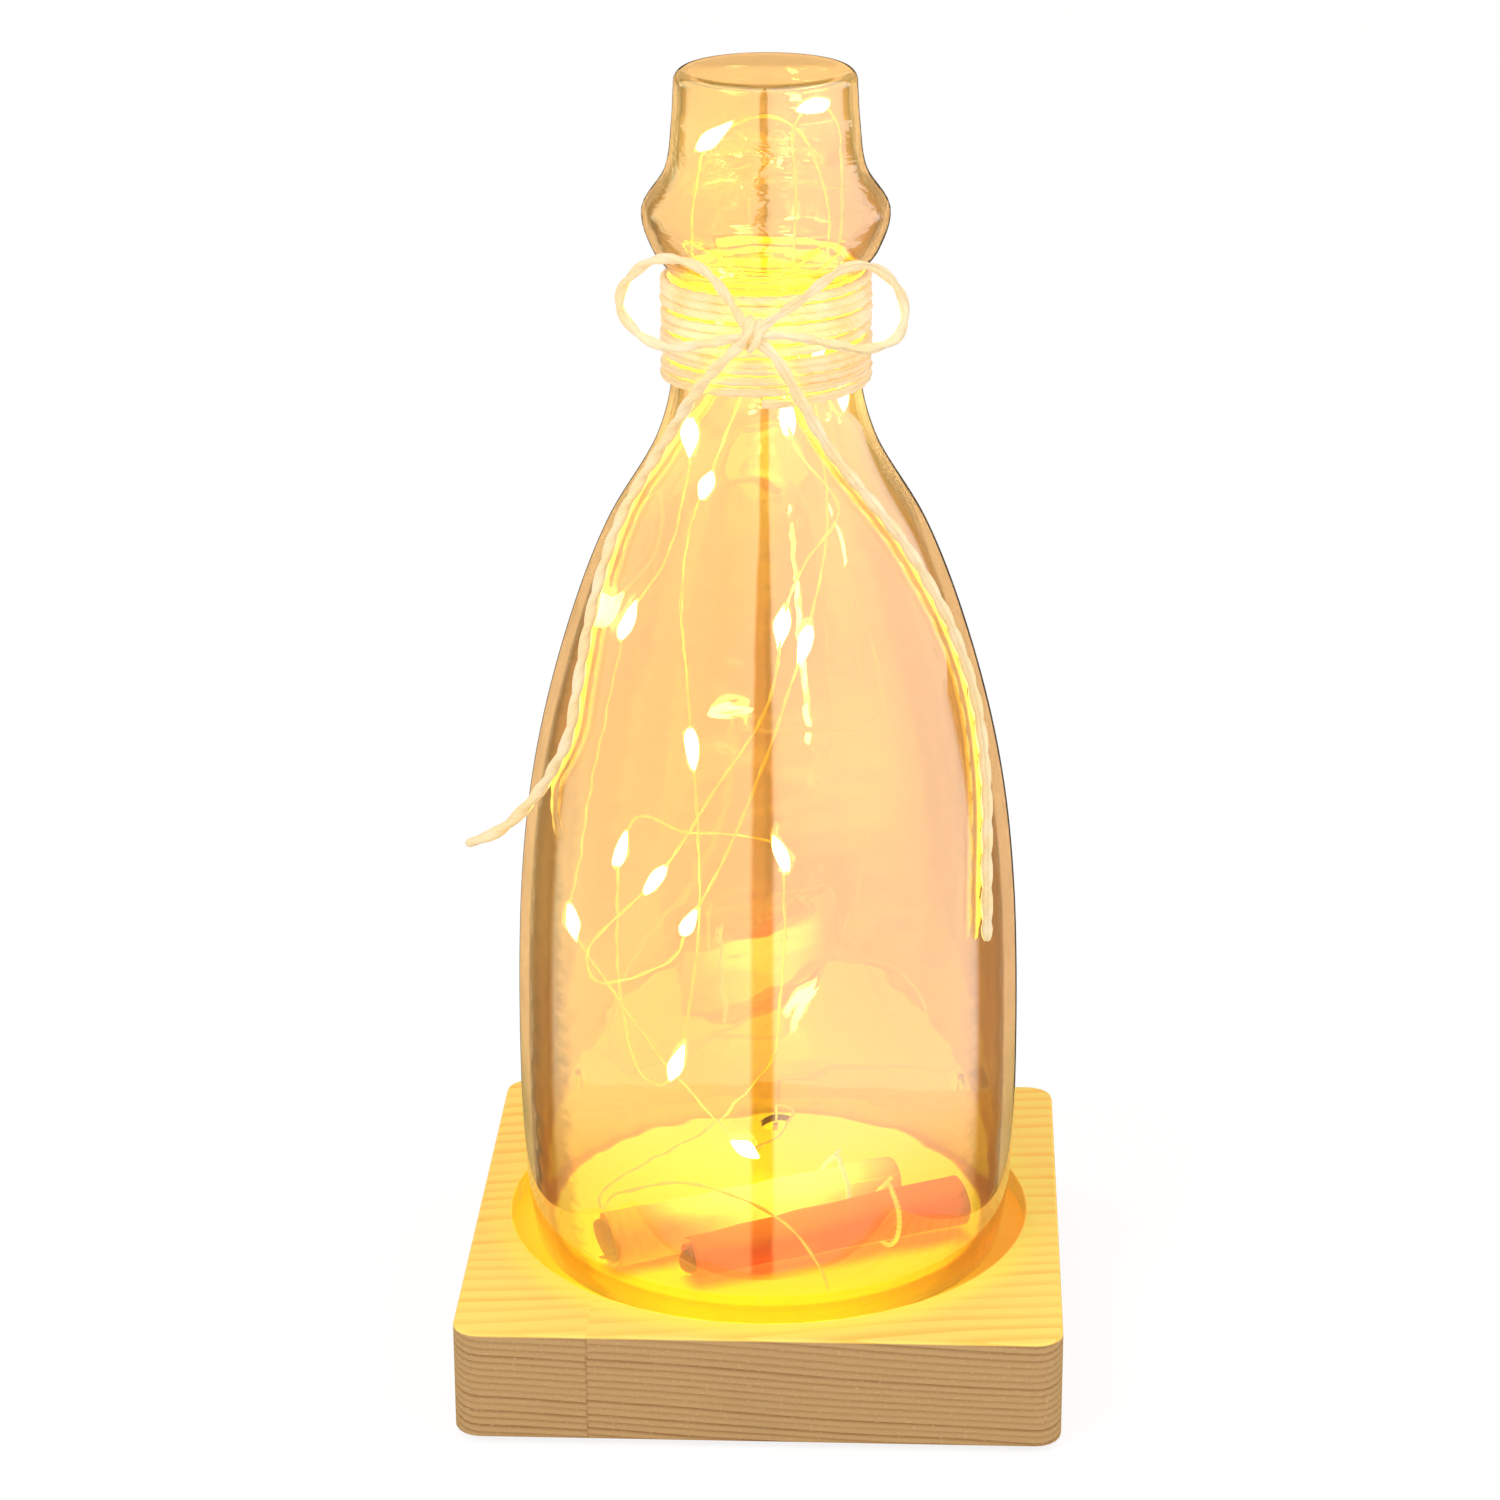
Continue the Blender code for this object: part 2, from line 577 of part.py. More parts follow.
def build_wrap(twine):
    """Twine wound round the neck: one unbroken tube, with each end running straight off the winding."""
    count = WRAP_TURNS * WRAP_POINTS_PER_TURN
    points = []
    for k in range(count + 1):
        angle = -math.pi / 2 + 2 * math.pi * k / WRAP_POINTS_PER_TURN
        height = WRAP_BOTTOM + WRAP_PITCH * k / WRAP_POINTS_PER_TURN
        points.append(Vector((WRAP_RADIUS * math.cos(angle), WRAP_RADIUS * math.sin(angle), height)))
    first = (points[0] - points[1]).normalized() * WRAP_DIAMETER
    last = (points[-1] - points[-2]).normalized() * WRAP_DIAMETER
    points = [points[0] + first, *points, points[-1] + last]
    print("Least gap of the neck winding to itself: %.2f mm" % (own_gap(points, WRAP_DIAMETER) * 1000))
    return tube("neck_twine_wrap", [points], WRAP_DIAMETER, twine, 1)


def own_gap(points, diameter):
    """Least gap between stretches of a winding that lie more than half a turn apart along it."""
    apart = WRAP_POINTS_PER_TURN // 2
    near = WRAP_POINTS_PER_TURN * 3 // 2
    least = math.inf
    for i, point in enumerate(points):
        for other in points[i + apart:i + near]:
            least = min(least, (point - other).length)
    return least - diameter


def bow_points(route):
    """A bow route in the lamp's frame."""
    return [Vector((x * MILLIMETRE, y * MILLIMETRE, KNOT_CENTRE.z + z * MILLIMETRE)) for x, y, z in route]


def knot_exit(towards):
    """Point just outside the knot, on the line from its centre towards another point."""
    way = (towards - KNOT_CENTRE).normalized()
    share = Vector((way.x / KNOT_HALF_WIDTH, way.y / KNOT_HALF_DEPTH, way.z / KNOT_HALF_HEIGHT)).length
    return KNOT_CENTRE + way * (1 / share + TOUCH_GAP)


def clear_of_neck(point):
    """The point, moved straight out where the twine would cut into the bottle or the winding."""
    inside = glass_radius(point.z)
    if WRAP_BOTTOM - WRAP_PITCH <= point.z <= WRAP_TOP + WRAP_PITCH:
        inside = max(inside, WRAP_OUTER)
    least = inside + TOUCH_GAP + BOW_TWINE_DIAMETER / 2
    across = Vector((point.x, point.y, 0))
    if across.length >= least:
        return point
    return across.normalized() * least + Vector((0, 0, point.z))


def twine_run(points):
    """Evenly spaced points on the smooth curve, kept off the bottle."""
    path = Path(rounded(points))
    return [clear_of_neck(p) for p in path.run(0, path.length, 3 * BOW_TWINE_DIAMETER)]


def build_bow(twine):
    """The bow: a knot, two loops that start and end at it, and two hanging tails."""
    bm = bmesh.new()
    shape = Matrix.Diagonal((KNOT_HALF_WIDTH, KNOT_HALF_DEPTH, KNOT_HALF_HEIGHT, 1))
    bmesh.ops.create_uvsphere(bm, u_segments=14, v_segments=8, radius=1.0, matrix=shape)
    knot = place("bow_knot", finish_mesh(bm, "bow_knot", 60), twine, KNOT_CENTRE)
    pieces = [knot]
    for name, route in (("bow_loop_left", LEFT_LOOP_ROUTE), ("bow_loop_right", RIGHT_LOOP_ROUTE)):
        middle = bow_points(route)
        run = twine_run([knot_exit(middle[0]), *middle, knot_exit(middle[-1])])
        pieces.append(tube(name, [run], BOW_TWINE_DIAMETER, twine, 2))
    for name, route in (("twine_tail_left", LEFT_TAIL_ROUTE), ("twine_tail_right", RIGHT_TAIL_ROUTE)):
        middle = bow_points(route)
        run = twine_run([knot_exit(middle[0]), *middle])
        pieces.append(tube(name, [run], BOW_TWINE_DIAMETER, twine, 2))
    return pieces


def thinned(points, tolerance):
    """The points that keep a polyline within a tolerance of all its points."""
    first, last = points[0], points[-1]
    span = last - first
    worst, widest = 0, 0.0
    for i, point in enumerate(points[1:-1], 1):
        share = min(max((point - first).dot(span) / max(span.length_squared, 1e-18), 0.0), 1.0)
        off = (point - first - span * share).length
        if off > widest:
            worst, widest = i, off
    if widest <= tolerance:
        return [first, last]
    return thinned(points[:worst + 1], tolerance)[:-1] + thinned(points[worst:], tolerance)


def build_lights(copper):
    """The light string: one fine wire with a drop of resin cast on it at each light."""
    route = [Vector((x * MILLIMETRE, y * MILLIMETRE, BASE_TOP + z * MILLIMETRE)) for x, y, z in WIRE_ROUTE]
    path = Path(rounded(route))
    lights = [LED_LEAD + k * LED_PITCH for k in range(LED_COUNT)]
    stops = [0.0, *lights, path.length]
    run = [path.points[0]]
    for start, end in zip(stops, stops[1:]):
        tolerance = TAIL_TOLERANCE if end == path.length else WIRE_TOLERANCE
        run += thinned(path.stretch(start, end), tolerance)[1:]
    string = as_mesh(tube("led_string", [run], WIRE_DIAMETER, copper, 2))
    bm = bmesh.new()
    for centre in lights:
        turn = path.direction(centre).to_track_quat("Z", "Y").to_matrix().to_4x4()
        shape = Matrix.Diagonal((BEAD_RADIUS, BEAD_RADIUS, BEAD_LENGTH / 2, 1))
        where = Matrix.Translation(path.at(centre)) @ turn @ shape
        bmesh.ops.create_uvsphere(bm, u_segments=8, v_segments=5, radius=1.0, matrix=where)
    beads = place("resin_drops", finish_mesh(bm, "resin_drops", 60), copper)
    join(string, beads)
    print("Length of the light string: %.3f m in %d points" % (path.length, len(run)))


def as_mesh(piece):
    """A curve made a mesh with its caps welded on, so that a Boolean can take it."""
    bpy.context.view_layer.update()
    graph = bpy.context.evaluated_depsgraph_get()
    mesh = bpy.data.meshes.new_from_object(piece.evaluated_get(graph))
    bm = bmesh.new()
    bm.from_mesh(mesh)
    bmesh.ops.remove_doubles(bm, verts=bm.verts, dist=0.000001)
    bm.to_mesh(mesh)
    bm.free()
    name = piece.name
    where = piece.matrix_world.copy()
    bpy.data.objects.remove(piece)
    made = place(name, mesh, None)
    made.matrix_world = where
    return made


def scroll_axis(left, right, left_radius, right_radius, tie_at):
    """Start, direction, length and rise of a scroll that lies on its left end and on its tie."""
    along = Vector((right[0] - left[0], right[1] - left[1], 0))
    length = along.length
    tie_radius = left_radius + (right_radius - left_radius) * tie_at / length
    low = BASE_TOP + TOUCH_GAP + left_radius
    high = BASE_TOP + 2 * TOUCH_GAP + TIE_DIAMETER + tie_radius
    rise = (high - low) / tie_at
    return Vector((*left, low)), along.normalized(), length, rise, tie_radius


def build_scroll(name, left, right, left_radius, right_radius, tie_at, paper, thread):
    """A sheet of paper rolled into a cone, and the thread tied round it."""
    start, along, length, rise, tie_radius = scroll_axis(left, right, left_radius, right_radius, tie_at)
    way = Vector((along.x, along.y, rise)).normalized()
    across = Vector((0, 0, 1)).cross(way).normalized()
    up = way.cross(across)
    count = int(SCROLL_TURNS * SCROLL_POINTS_PER_TURN)
    bm = bmesh.new()
    rows = []
    for distance, radius in ((0.0, left_radius), (length, right_radius)):
        centre = start + way * distance
        row = []
        for k in range(count + 1):
            angle = 2 * math.pi * k / SCROLL_POINTS_PER_TURN
            reach = radius - (PAPER + PAPER_SPACE) * k / SCROLL_POINTS_PER_TURN
            row.append(bm.verts.new(centre + across * reach * math.cos(angle) + up * reach * math.sin(angle)))
        rows.append(row)
    for a, b, c, d in zip(rows[0], rows[0][1:], rows[1][1:], rows[1]):
        bm.faces.new((a, b, c, d))
    bmesh.ops.recalc_face_normals(bm, faces=bm.faces)
    scroll = place(name, finish_mesh(bm, name, 60), paper)
    thickness = scroll.modifiers.new("Paper", "SOLIDIFY")
    thickness.thickness = PAPER
    thickness.offset = scroll_side(scroll.data, start + way * length / 2)
    reach = tie_radius + TOUCH_GAP + TIE_DIAMETER / 2
    ring = [(reach + TIE_DIAMETER / 2 * math.cos(a), TIE_DIAMETER / 2 * math.sin(a))
            for a in (-2 * math.pi * k / 6 for k in range(6))]
    tie = turned(name + "_tie", ring, thread, 24, closed=True, location=start + way * tie_at)
    tie.rotation_mode = "QUATERNION"
    tie.rotation_quaternion = way.to_track_quat("Z", "Y")
    return scroll


def scroll_side(mesh, middle):
    """Solidify offset that keeps the paper's thickness inside the roll's outer radius."""
    face = mesh.polygons[0]
    outward = face.normal.dot(face.center - middle)
    return -1.0 if outward > 0 else 1.0


def ear_screw_places():
    """X of the two screws that hold the battery case."""
    reach = CASE_LENGTH / 2 + EAR_LENGTH / 2
    return {"left": CASE_X - reach, "right": CASE_X + reach}


def ear_screw_head_top():
    """Level of the ear screws' heads against the ears."""
    return BASE_BOTTOM + EAR_HEIGHT - TOUCH_GAP


def ear_screw_top():
    """Level of the ear screws' tips in the wood."""
    return ear_screw_head_top() + EAR_SCREW_LENGTH


def case_box(name, low, high, finish=None, corner_radius=0.0):
    """A box whose x is measured from the middle of the battery case."""
    return box(name, (low[0] + CASE_X, low[1], low[2]), (high[0] + CASE_X, high[1], high[2]), finish, corner_radius)


def build_case(plastic):
    """Moulded battery case, open to the wood above, with its ears, cell well, switch bay and door rebate."""
    half_length, half_width = CASE_LENGTH / 2, CASE_WIDTH / 2
    case = case_box(
        "battery_case", (-half_length, -half_width, CASE_BOTTOM), (half_length, half_width, CASE_TOP), plastic,
        CASE_CORNER_RADIUS,
    )
    ear_bottom = BASE_BOTTOM + EAR_HEIGHT
    inset = CASE_CORNER_RADIUS
    for side, sign in (("left", -1), ("right", 1)):
        near, far = sign * (half_length - inset), sign * (half_length + EAR_LENGTH)
        ear = case_box(
            side + "_ear", (min(near, far), -EAR_WIDTH / 2, ear_bottom),
            (max(near, far), EAR_WIDTH / 2, ear_bottom + EAR_THICKNESS),
        )
        join(case, ear)
    over = CASE_TOP + CASE_BACK_THICKNESS
    under = CASE_BOTTOM - CASE_RECESS
    well = cylinder(
        "cell_well_cutter", (CASE_X + CELL_X, 0), CELL_RADIUS + CELL_SIDE_GAP, under, over, steps=ROUND_STEPS,
    )
    gap = TOUCH_GAP
    rebate = case_box(
        "door_rebate_cutter", (DOOR_LEFT - gap, -DOOR_WIDTH / 2 - gap, under),
        (DOOR_RIGHT + gap, DOOR_WIDTH / 2 + gap, CASE_BOTTOM + DOOR_THICKNESS + gap),
    )
    bay = case_box("switch_bay_cutter", (BAY_LEFT, -BAY_WIDTH / 2, FLOOR_TOP), (BAY_RIGHT, BAY_WIDTH / 2, over))
    slot_x = SLIDER_STEM[0] / 2 + SLIDE_GAP
    slot_y = SLIDER_STEM[1] / 2 + SWITCH_TRAVEL / 2 + SLIDE_GAP
    slot = case_box(
        "slider_slot_cutter", (SWITCH_X - slot_x, -slot_y, under), (SWITCH_X + slot_x, slot_y, FLOOR_TOP + gap),
    )
    leaf_way = case_box(
        "leaf_channel_cutter", (CELL_X, -CONTACT_WIDTH / 2 - gap, CELL_STACK_TOP),
        (BAY_LEFT + gap, CONTACT_WIDTH / 2 + gap, over),
    )
    side_way = case_box(
        "side_contact_cutter", (side_contact_left() - gap, CELL_RADIUS, side_contact_bottom() - gap),
        (BAY_LEFT + gap, CELL_RADIUS + 2 * gap + 2 * CONTACT_THICKNESS, over),
    )
    notch = box(
        "lead_notch_cutter", (-LEAD_NOTCH / 2, BAY_WIDTH / 2 - gap, lead_level() - LEAD_NOTCH / 2),
        (LEAD_NOTCH / 2, half_width + gap, over),
    )
    screw_way = cylinder(
        "door_screw_cutter", (CASE_X + DOOR_SCREW_X, 0), SCREW_SHANK_RADIUS + gap, under,
        door_screw_top() + gap, steps=SCREW_STEPS,
    )
    cut(case, well, rebate, bay, slot, leaf_way, side_way, notch, screw_way)
    for side, x in ear_screw_places().items():
        cut(case, cylinder(
            side + "_ear_hole_cutter", (x, 0), SCREW_SHANK_RADIUS + gap, under, CASE_TOP, steps=SCREW_STEPS,
        ))
    return case


def build_case_back(plastic):
    """Flat back that closes the case against the ceiling of the pocket."""
    half_length, half_width = CASE_LENGTH / 2, CASE_WIDTH / 2
    return case_box(
        "battery_case_back", (-half_length, -half_width, CASE_TOP + TOUCH_GAP),
        (half_length, half_width, BACK_TOP), plastic, CASE_CORNER_RADIUS,
    )


def door_screw_head():
    """Levels of the door screw's head: its bottom and its top against the door."""
    top = CASE_BOTTOM + DOOR_THICKNESS / 2 - TOUCH_GAP
    return top - SCREW_HEAD_HEIGHT, top


def door_screw_top():
    """Level of the door screw's tip in the case."""
    return door_screw_head()[1] + DOOR_SCREW_LENGTH


def build_door(plastic):
    """Battery door, let into the case and held by one screw."""
    half = DOOR_WIDTH / 2
    door = case_box(
        "battery_door", (DOOR_LEFT, -half, CASE_BOTTOM), (DOOR_RIGHT, half, CASE_BOTTOM + DOOR_THICKNESS), plastic,
    )
    where = (CASE_X + DOOR_SCREW_X, 0)
    under = CASE_BOTTOM - CASE_RECESS
    seat = cylinder(
        "door_screw_seat_cutter", where, SCREW_HEAD_RADIUS + TOUCH_GAP, under,
        CASE_BOTTOM + DOOR_THICKNESS / 2, steps=SCREW_STEPS,
    )
    way = cylinder(
        "door_screw_way_cutter", where, SCREW_SHANK_RADIUS + TOUCH_GAP, under,
        CASE_BOTTOM + 2 * DOOR_THICKNESS, steps=SCREW_STEPS,
    )
    cut(door, seat, way)
    return door


def screw_profile(head_height, length):
    """Profile of a pan-head screw that points up, with its head's top at height 0."""
    tip = SCREW_SHANK_RADIUS * 0.6
    return [
        (0.0, length),
        (tip, length - SCREW_SHANK_RADIUS / 2),
        (SCREW_SHANK_RADIUS, length - SCREW_SHANK_RADIUS * 2),
        (SCREW_SHANK_RADIUS, 0.0),
        (SCREW_HEAD_RADIUS, 0.0),
        (SCREW_HEAD_RADIUS, -head_height * 0.6),
        (SCREW_HEAD_RADIUS * 0.8, -head_height),
        (0.0, -head_height),
    ]


def build_screws(steel):
    """The door screw, and the two screws through the ears of the case."""
    turned(
        "door_screw", screw_profile(SCREW_HEAD_HEIGHT, DOOR_SCREW_LENGTH), steel, SCREW_STEPS,
        location=(CASE_X + DOOR_SCREW_X, 0, door_screw_head()[1]),
    )
    for side, x in ear_screw_places().items():
        turned(
            "case_screw_" + side, screw_profile(SCREW_HEAD_HEIGHT, EAR_SCREW_LENGTH), steel, SCREW_STEPS,
            location=(x, 0, ear_screw_head_top()),
        )


def build_cells(steel):
    """Two coin cells, one on the other, each with its stepped can."""
    names = ("coin_cell_lower", "coin_cell_upper")
    step = CELL_THICKNESS / 8
    for k, name in enumerate(names):
        bottom = CELL_BOTTOM + k * (CELL_THICKNESS + TOUCH_GAP)
        profile = [
            (0.0, CELL_THICKNESS),
            (CELL_RADIUS * 0.88, CELL_THICKNESS),
            (CELL_RADIUS * 0.9, CELL_THICKNESS - step),
            (CELL_RADIUS * 0.97, CELL_THICKNESS - step),
            (CELL_RADIUS, CELL_THICKNESS - 2 * step),
            (CELL_RADIUS, step / 2),
            (CELL_RADIUS * 0.98, 0.0),
            (0.0, 0.0),
        ]
        turned(name, profile, steel, ROUND_STEPS, location=(CASE_X + CELL_X, 0, bottom))


def side_contact_left():
    """Left edge of the side contact, measured from the middle of the case."""
    return CELL_X - CONTACT_WIDTH / 2


def side_contact_bottom():
    """Level of the lower edge of the side contact."""
    return CELL_BOTTOM + CELL_THICKNESS / 2


def lead_level():
    """Level of the lead where it leaves the case."""
    return BASE_BOTTOM + LEAD_HEIGHT


def build_contacts(metal):
    """Leaf that bears on the upper cell, and the strip that bears on the side of the lower one."""
    half = CONTACT_WIDTH / 2
    leaf_level = CELL_STACK_TOP + TOUCH_GAP + CONTACT_THICKNESS / 2
    nose = half / 2
    leaf = [
        (CASE_X + CELL_X + half, -half), (CASE_X + BAY_LEFT, -half), (CASE_X + BAY_LEFT, half),
        (CASE_X + CELL_X + half, half), (CASE_X + CELL_X, nose), (CASE_X + CELL_X, -nose),
    ]
    strip("negative_contact", leaf, CONTACT_THICKNESS, metal, (0, 0, leaf_level))
    left, low = CASE_X + side_contact_left(), side_contact_bottom()
    top = CELL_STACK_TOP
    right = CASE_X + BAY_LEFT
    tongue = left + CONTACT_WIDTH
    shelf = top - half / 2
    side = [(left, low), (tongue, low), (tongue, shelf), (right, shelf), (right, top), (left, top)]
    upright = Matrix.Rotation(math.pi / 2, 3, "X").to_quaternion()
    y = CELL_RADIUS + TOUCH_GAP + CONTACT_THICKNESS / 2
    strip("positive_contact", side, CONTACT_THICKNESS, metal, (0, y, 0), upright)


def build_switch(plastic, metal):
    """Slide switch: its shell with three pins, and the slider that shows through the case's floor."""
    half_x, half_y = SWITCH_WIDTH / 2, SWITCH_LENGTH / 2
    bottom = FLOOR_TOP + TOUCH_GAP
    top = bottom + SWITCH_HEIGHT
    shell = case_box("switch_shell", (SWITCH_X - half_x, -half_y, bottom), (SWITCH_X + half_x, half_y, top), metal)
    pin_side, pin_height, pin_pitch = 0.0006, 0.0016, 0.0025
    for k in (-1, 0, 1):
        pin = case_box(
            "switch_pin_%d" % (k + 2), (SWITCH_X - pin_side / 2, k * pin_pitch - pin_side / 2, top - pin_side),
            (SWITCH_X + pin_side / 2, k * pin_pitch + pin_side / 2, top + pin_height),
        )
        join(shell, pin)
    plate_bottom = bottom + SWITCH_WALL + SLIDE_GAP
    plate_top = plate_bottom + SLIDER_PLATE[2]
    room_x = SLIDER_PLATE[0] / 2 + SLIDE_GAP
    room_y = SLIDER_PLATE[1] / 2 + SWITCH_TRAVEL / 2 + SLIDE_GAP
    room = case_box(
        "slider_room_cutter", (SWITCH_X - room_x, -room_y, bottom + SWITCH_WALL),
        (SWITCH_X + room_x, room_y, plate_top + SLIDE_GAP),
    )
    slot_x = SLIDER_STEM[0] / 2 + SLIDE_GAP
    slot_y = SLIDER_STEM[1] / 2 + SWITCH_TRAVEL / 2 + SLIDE_GAP
    slot = case_box(
        "shell_slot_cutter", (SWITCH_X - slot_x, -slot_y, bottom - SWITCH_WALL),
        (SWITCH_X + slot_x, slot_y, bottom + 2 * SWITCH_WALL),
    )
    cut(shell, room, slot)
    rest_y = -SWITCH_TRAVEL / 2
    plate_half_x, plate_half_y = SLIDER_PLATE[0] / 2, SLIDER_PLATE[1] / 2
    slider = case_box(
        "switch_slider", (SWITCH_X - plate_half_x, rest_y - plate_half_y, plate_bottom),
        (SWITCH_X + plate_half_x, rest_y + plate_half_y, plate_top), plastic,
    )
    stem_half_x, stem_half_y = SLIDER_STEM[0] / 2, SLIDER_STEM[1] / 2
    stem = case_box(
        "slider_stem", (SWITCH_X - stem_half_x, rest_y - stem_half_y, CASE_BOTTOM + SLIDER_STEM_RECESS),
        (SWITCH_X + stem_half_x, rest_y + stem_half_y, plate_bottom + SLIDER_PLATE[2] / 2),
    )
    join(slider, stem)


def build_lead(insulation):
    """The string's lead from the switch bay, through the notch and the channel, and up the wire hole."""
    level = lead_level()
    bay_y = BAY_WIDTH / 2 - LEAD_DIAMETER
    pin_x = CASE_X + SWITCH_X - SWITCH_WIDTH / 2 - LEAD_DIAMETER
    corners = [
        Vector((pin_x, 0.003, level)),
        Vector((pin_x * 0.7, bay_y * 0.6, level)),
        Vector((0, bay_y, level)),
        Vector((0, CASE_WIDTH / 2, level)),
        Vector((0, WIRE_HOLE_Y - 0.005, level)),
        Vector((0, WIRE_HOLE_Y - 0.0015, level + 0.001)),
        Vector((0, WIRE_HOLE_Y, level + 0.0035)),
        Vector((0, WIRE_HOLE_Y, BASE_TOP - TOUCH_GAP)),
    ]
    path = Path(rounded(corners, 6))
    tube("battery_lead", [path.run(0, path.length, 2 * LEAD_DIAMETER)], LEAD_DIAMETER, insulation, 2)


for old in list(bpy.data.objects):
    bpy.data.objects.remove(old)

LAMP = named_collection("bottle_lamp")
CUTTERS = named_collection("cutters")
ORIGIN = bpy.data.objects.new("lamp_origin", None)
LAMP.objects.link(ORIGIN)

build_base(material("pine", (0.74, 0.52, 0.27), 0.6))
build_pads(material("black_foam", (0.03, 0.03, 0.03), 0.9))
build_glass(material("amber_glass", (0.95, 0.60, 0.28), 0.05, alpha=0.35))
TWINE = material("cream_twine", (0.85, 0.70, 0.50), 0.9)
build_wrap(TWINE)
build_bow(TWINE)
build_lights(material("copper_wire", (0.85, 0.55, 0.25), 0.35, metallic=1.0))
build_scroll(
    "scroll_cream", CREAM_LEFT, CREAM_RIGHT, CREAM_LEFT_RADIUS, CREAM_RIGHT_RADIUS, CREAM_TIE_AT,
    material("cream_paper", (0.95, 0.80, 0.50), 0.8), material("silver_thread", (0.8, 0.78, 0.7), 0.4, metallic=0.8),
)
build_scroll(
    "scroll_red", RED_LEFT, RED_RIGHT, RED_LEFT_RADIUS, RED_RIGHT_RADIUS, RED_TIE_AT,
    material("red_paper", (0.90, 0.25, 0.15), 0.8), material("gold_thread", (0.9, 0.65, 0.2), 0.4, metallic=0.8),
)
BLACK_PLASTIC = material("black_plastic", (0.04, 0.04, 0.04), 0.5)
build_case(BLACK_PLASTIC)
build_case_back(BLACK_PLASTIC)
build_door(BLACK_PLASTIC)
STEEL = material("bright_steel", (0.75, 0.75, 0.75), 0.3, metallic=1.0)
build_screws(STEEL)
build_cells(STEEL)
build_contacts(material("nickel_strip", (0.7, 0.68, 0.62), 0.35, metallic=1.0))
build_switch(material("white_plastic", (0.85, 0.85, 0.83), 0.45), STEEL)
build_lead(material("clear_insulation", (0.75, 0.50, 0.30), 0.4))
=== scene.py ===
"""Looks of the bottle lamp: tinted bottle, twine bow, light string, paper scrolls and pine base."""

import logging
import math
from dataclasses import dataclass
from enum import Enum
from functools import reduce
from typing import Callable, Iterable, Sequence

import bmesh
import bpy
import numpy as np
from mathutils import Matrix, Vector


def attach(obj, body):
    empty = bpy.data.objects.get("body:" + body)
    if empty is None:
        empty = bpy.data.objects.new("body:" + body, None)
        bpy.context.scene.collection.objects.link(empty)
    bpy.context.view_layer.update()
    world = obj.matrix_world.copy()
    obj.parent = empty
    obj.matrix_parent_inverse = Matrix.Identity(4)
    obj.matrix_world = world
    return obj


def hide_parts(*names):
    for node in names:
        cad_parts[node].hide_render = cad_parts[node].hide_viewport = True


LOG = logging.getLogger("bottle_lamp")
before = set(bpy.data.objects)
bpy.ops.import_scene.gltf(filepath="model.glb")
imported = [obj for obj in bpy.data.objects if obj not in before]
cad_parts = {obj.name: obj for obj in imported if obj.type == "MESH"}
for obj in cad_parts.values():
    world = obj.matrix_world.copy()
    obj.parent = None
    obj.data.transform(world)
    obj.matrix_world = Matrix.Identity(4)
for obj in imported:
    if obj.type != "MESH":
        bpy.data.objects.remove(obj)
MM = 0.001
TAU = 2 * math.pi
MERGE = 0.000002  # vertices of a CAD mesh that are closer than this are one
FLAT = 0.4  # CAD triangles that lean less than this against each other, in degrees, become one face
BASE_TOP = 0.0203  # height of the top of the base, and of the round middle that the scrolls lie on
GLASS_RIM = 0.0166  # height of the bottle's rim, which stands in the groove
CREAM_LINE = (-0.0250, -0.0250, 0.0210, -0.0015)  # each scroll's left and right end, seen from above
RED_LINE = (-0.0115, -0.0288, 0.0325, -0.0095)

Array = np.ndarray
Pair = tuple[float, float]
Triple = tuple[float, float, float]
Piece = bpy.types.Object
Socket = bpy.types.NodeSocket
Settings = dict[int | str, object]  # what goes into a node's sockets, by their names or numbers
Relief = Callable[[Array, Array], Array]  # a radius, or what is added to it, from two arrays


# Curves and surfaces

def smooth_path(points: Sequence[Sequence[float]], samples: int = 12) -> Array:
    """Centripetal Catmull-Rom curve: each span is a cubic whose knots lie a square root of its chord apart.

    Args:
        points: the points that the curve passes through.
        samples: points made for each span.

    Returns:
        The curve's points, one row each, with both ends.
    """
    given = np.asarray(points, float)
    knots = np.vstack([2 * given[0] - given[1], given, 2 * given[-1] - given[-2]])
    a, b, c, d = knots[:-3], knots[1:-2], knots[2:-1], knots[3:]
    ta = np.sqrt(np.linalg.norm(b - a, axis=1))[:, None, None]
    tb = ta + np.sqrt(np.linalg.norm(c - b, axis=1))[:, None, None]
    tc = tb + np.sqrt(np.linalg.norm(d - c, axis=1))[:, None, None]
    t = ta + (tb - ta) * (np.arange(samples) / samples)[None, :, None]
    a, b, c, d = (x[:, None, :] for x in (a, b, c, d))
    ab = a + (b - a) * t / ta
    bc = b + (c - b) * (t - ta) / (tb - ta)
    cd = c + (d - c) * (t - tb) / (tc - tb)
    abc = ab + (bc - ab) * t / tb
    bcd = bc + (cd - bc) * (t - ta) / (tc - ta)
    curve = abc + (bcd - abc) * (t - ta) / (tb - ta)
    return np.vstack([curve.reshape(-1, given.shape[1]), given[-1]])


def marks_of(path: Array) -> Array:
    """Distance from the start of the path to each of its points."""
    return np.concatenate([[0.0], np.cumsum(np.linalg.norm(np.diff(path, axis=0), axis=1))])


def points_at(path: Array, distances: Array) -> Array:
    """Points of the path at distances from its start, read off its chords."""
    marks = marks_of(path)
    return np.stack([np.interp(distances, marks, path[:, k]) for k in range(path.shape[1])], axis=1)


def even_path(path: Array, step: float) -> Array:
    """The path with its points an even step apart."""
    length = marks_of(path)[-1]
    return points_at(path, np.linspace(0, length, max(3, int(round(length / step)) + 1)))


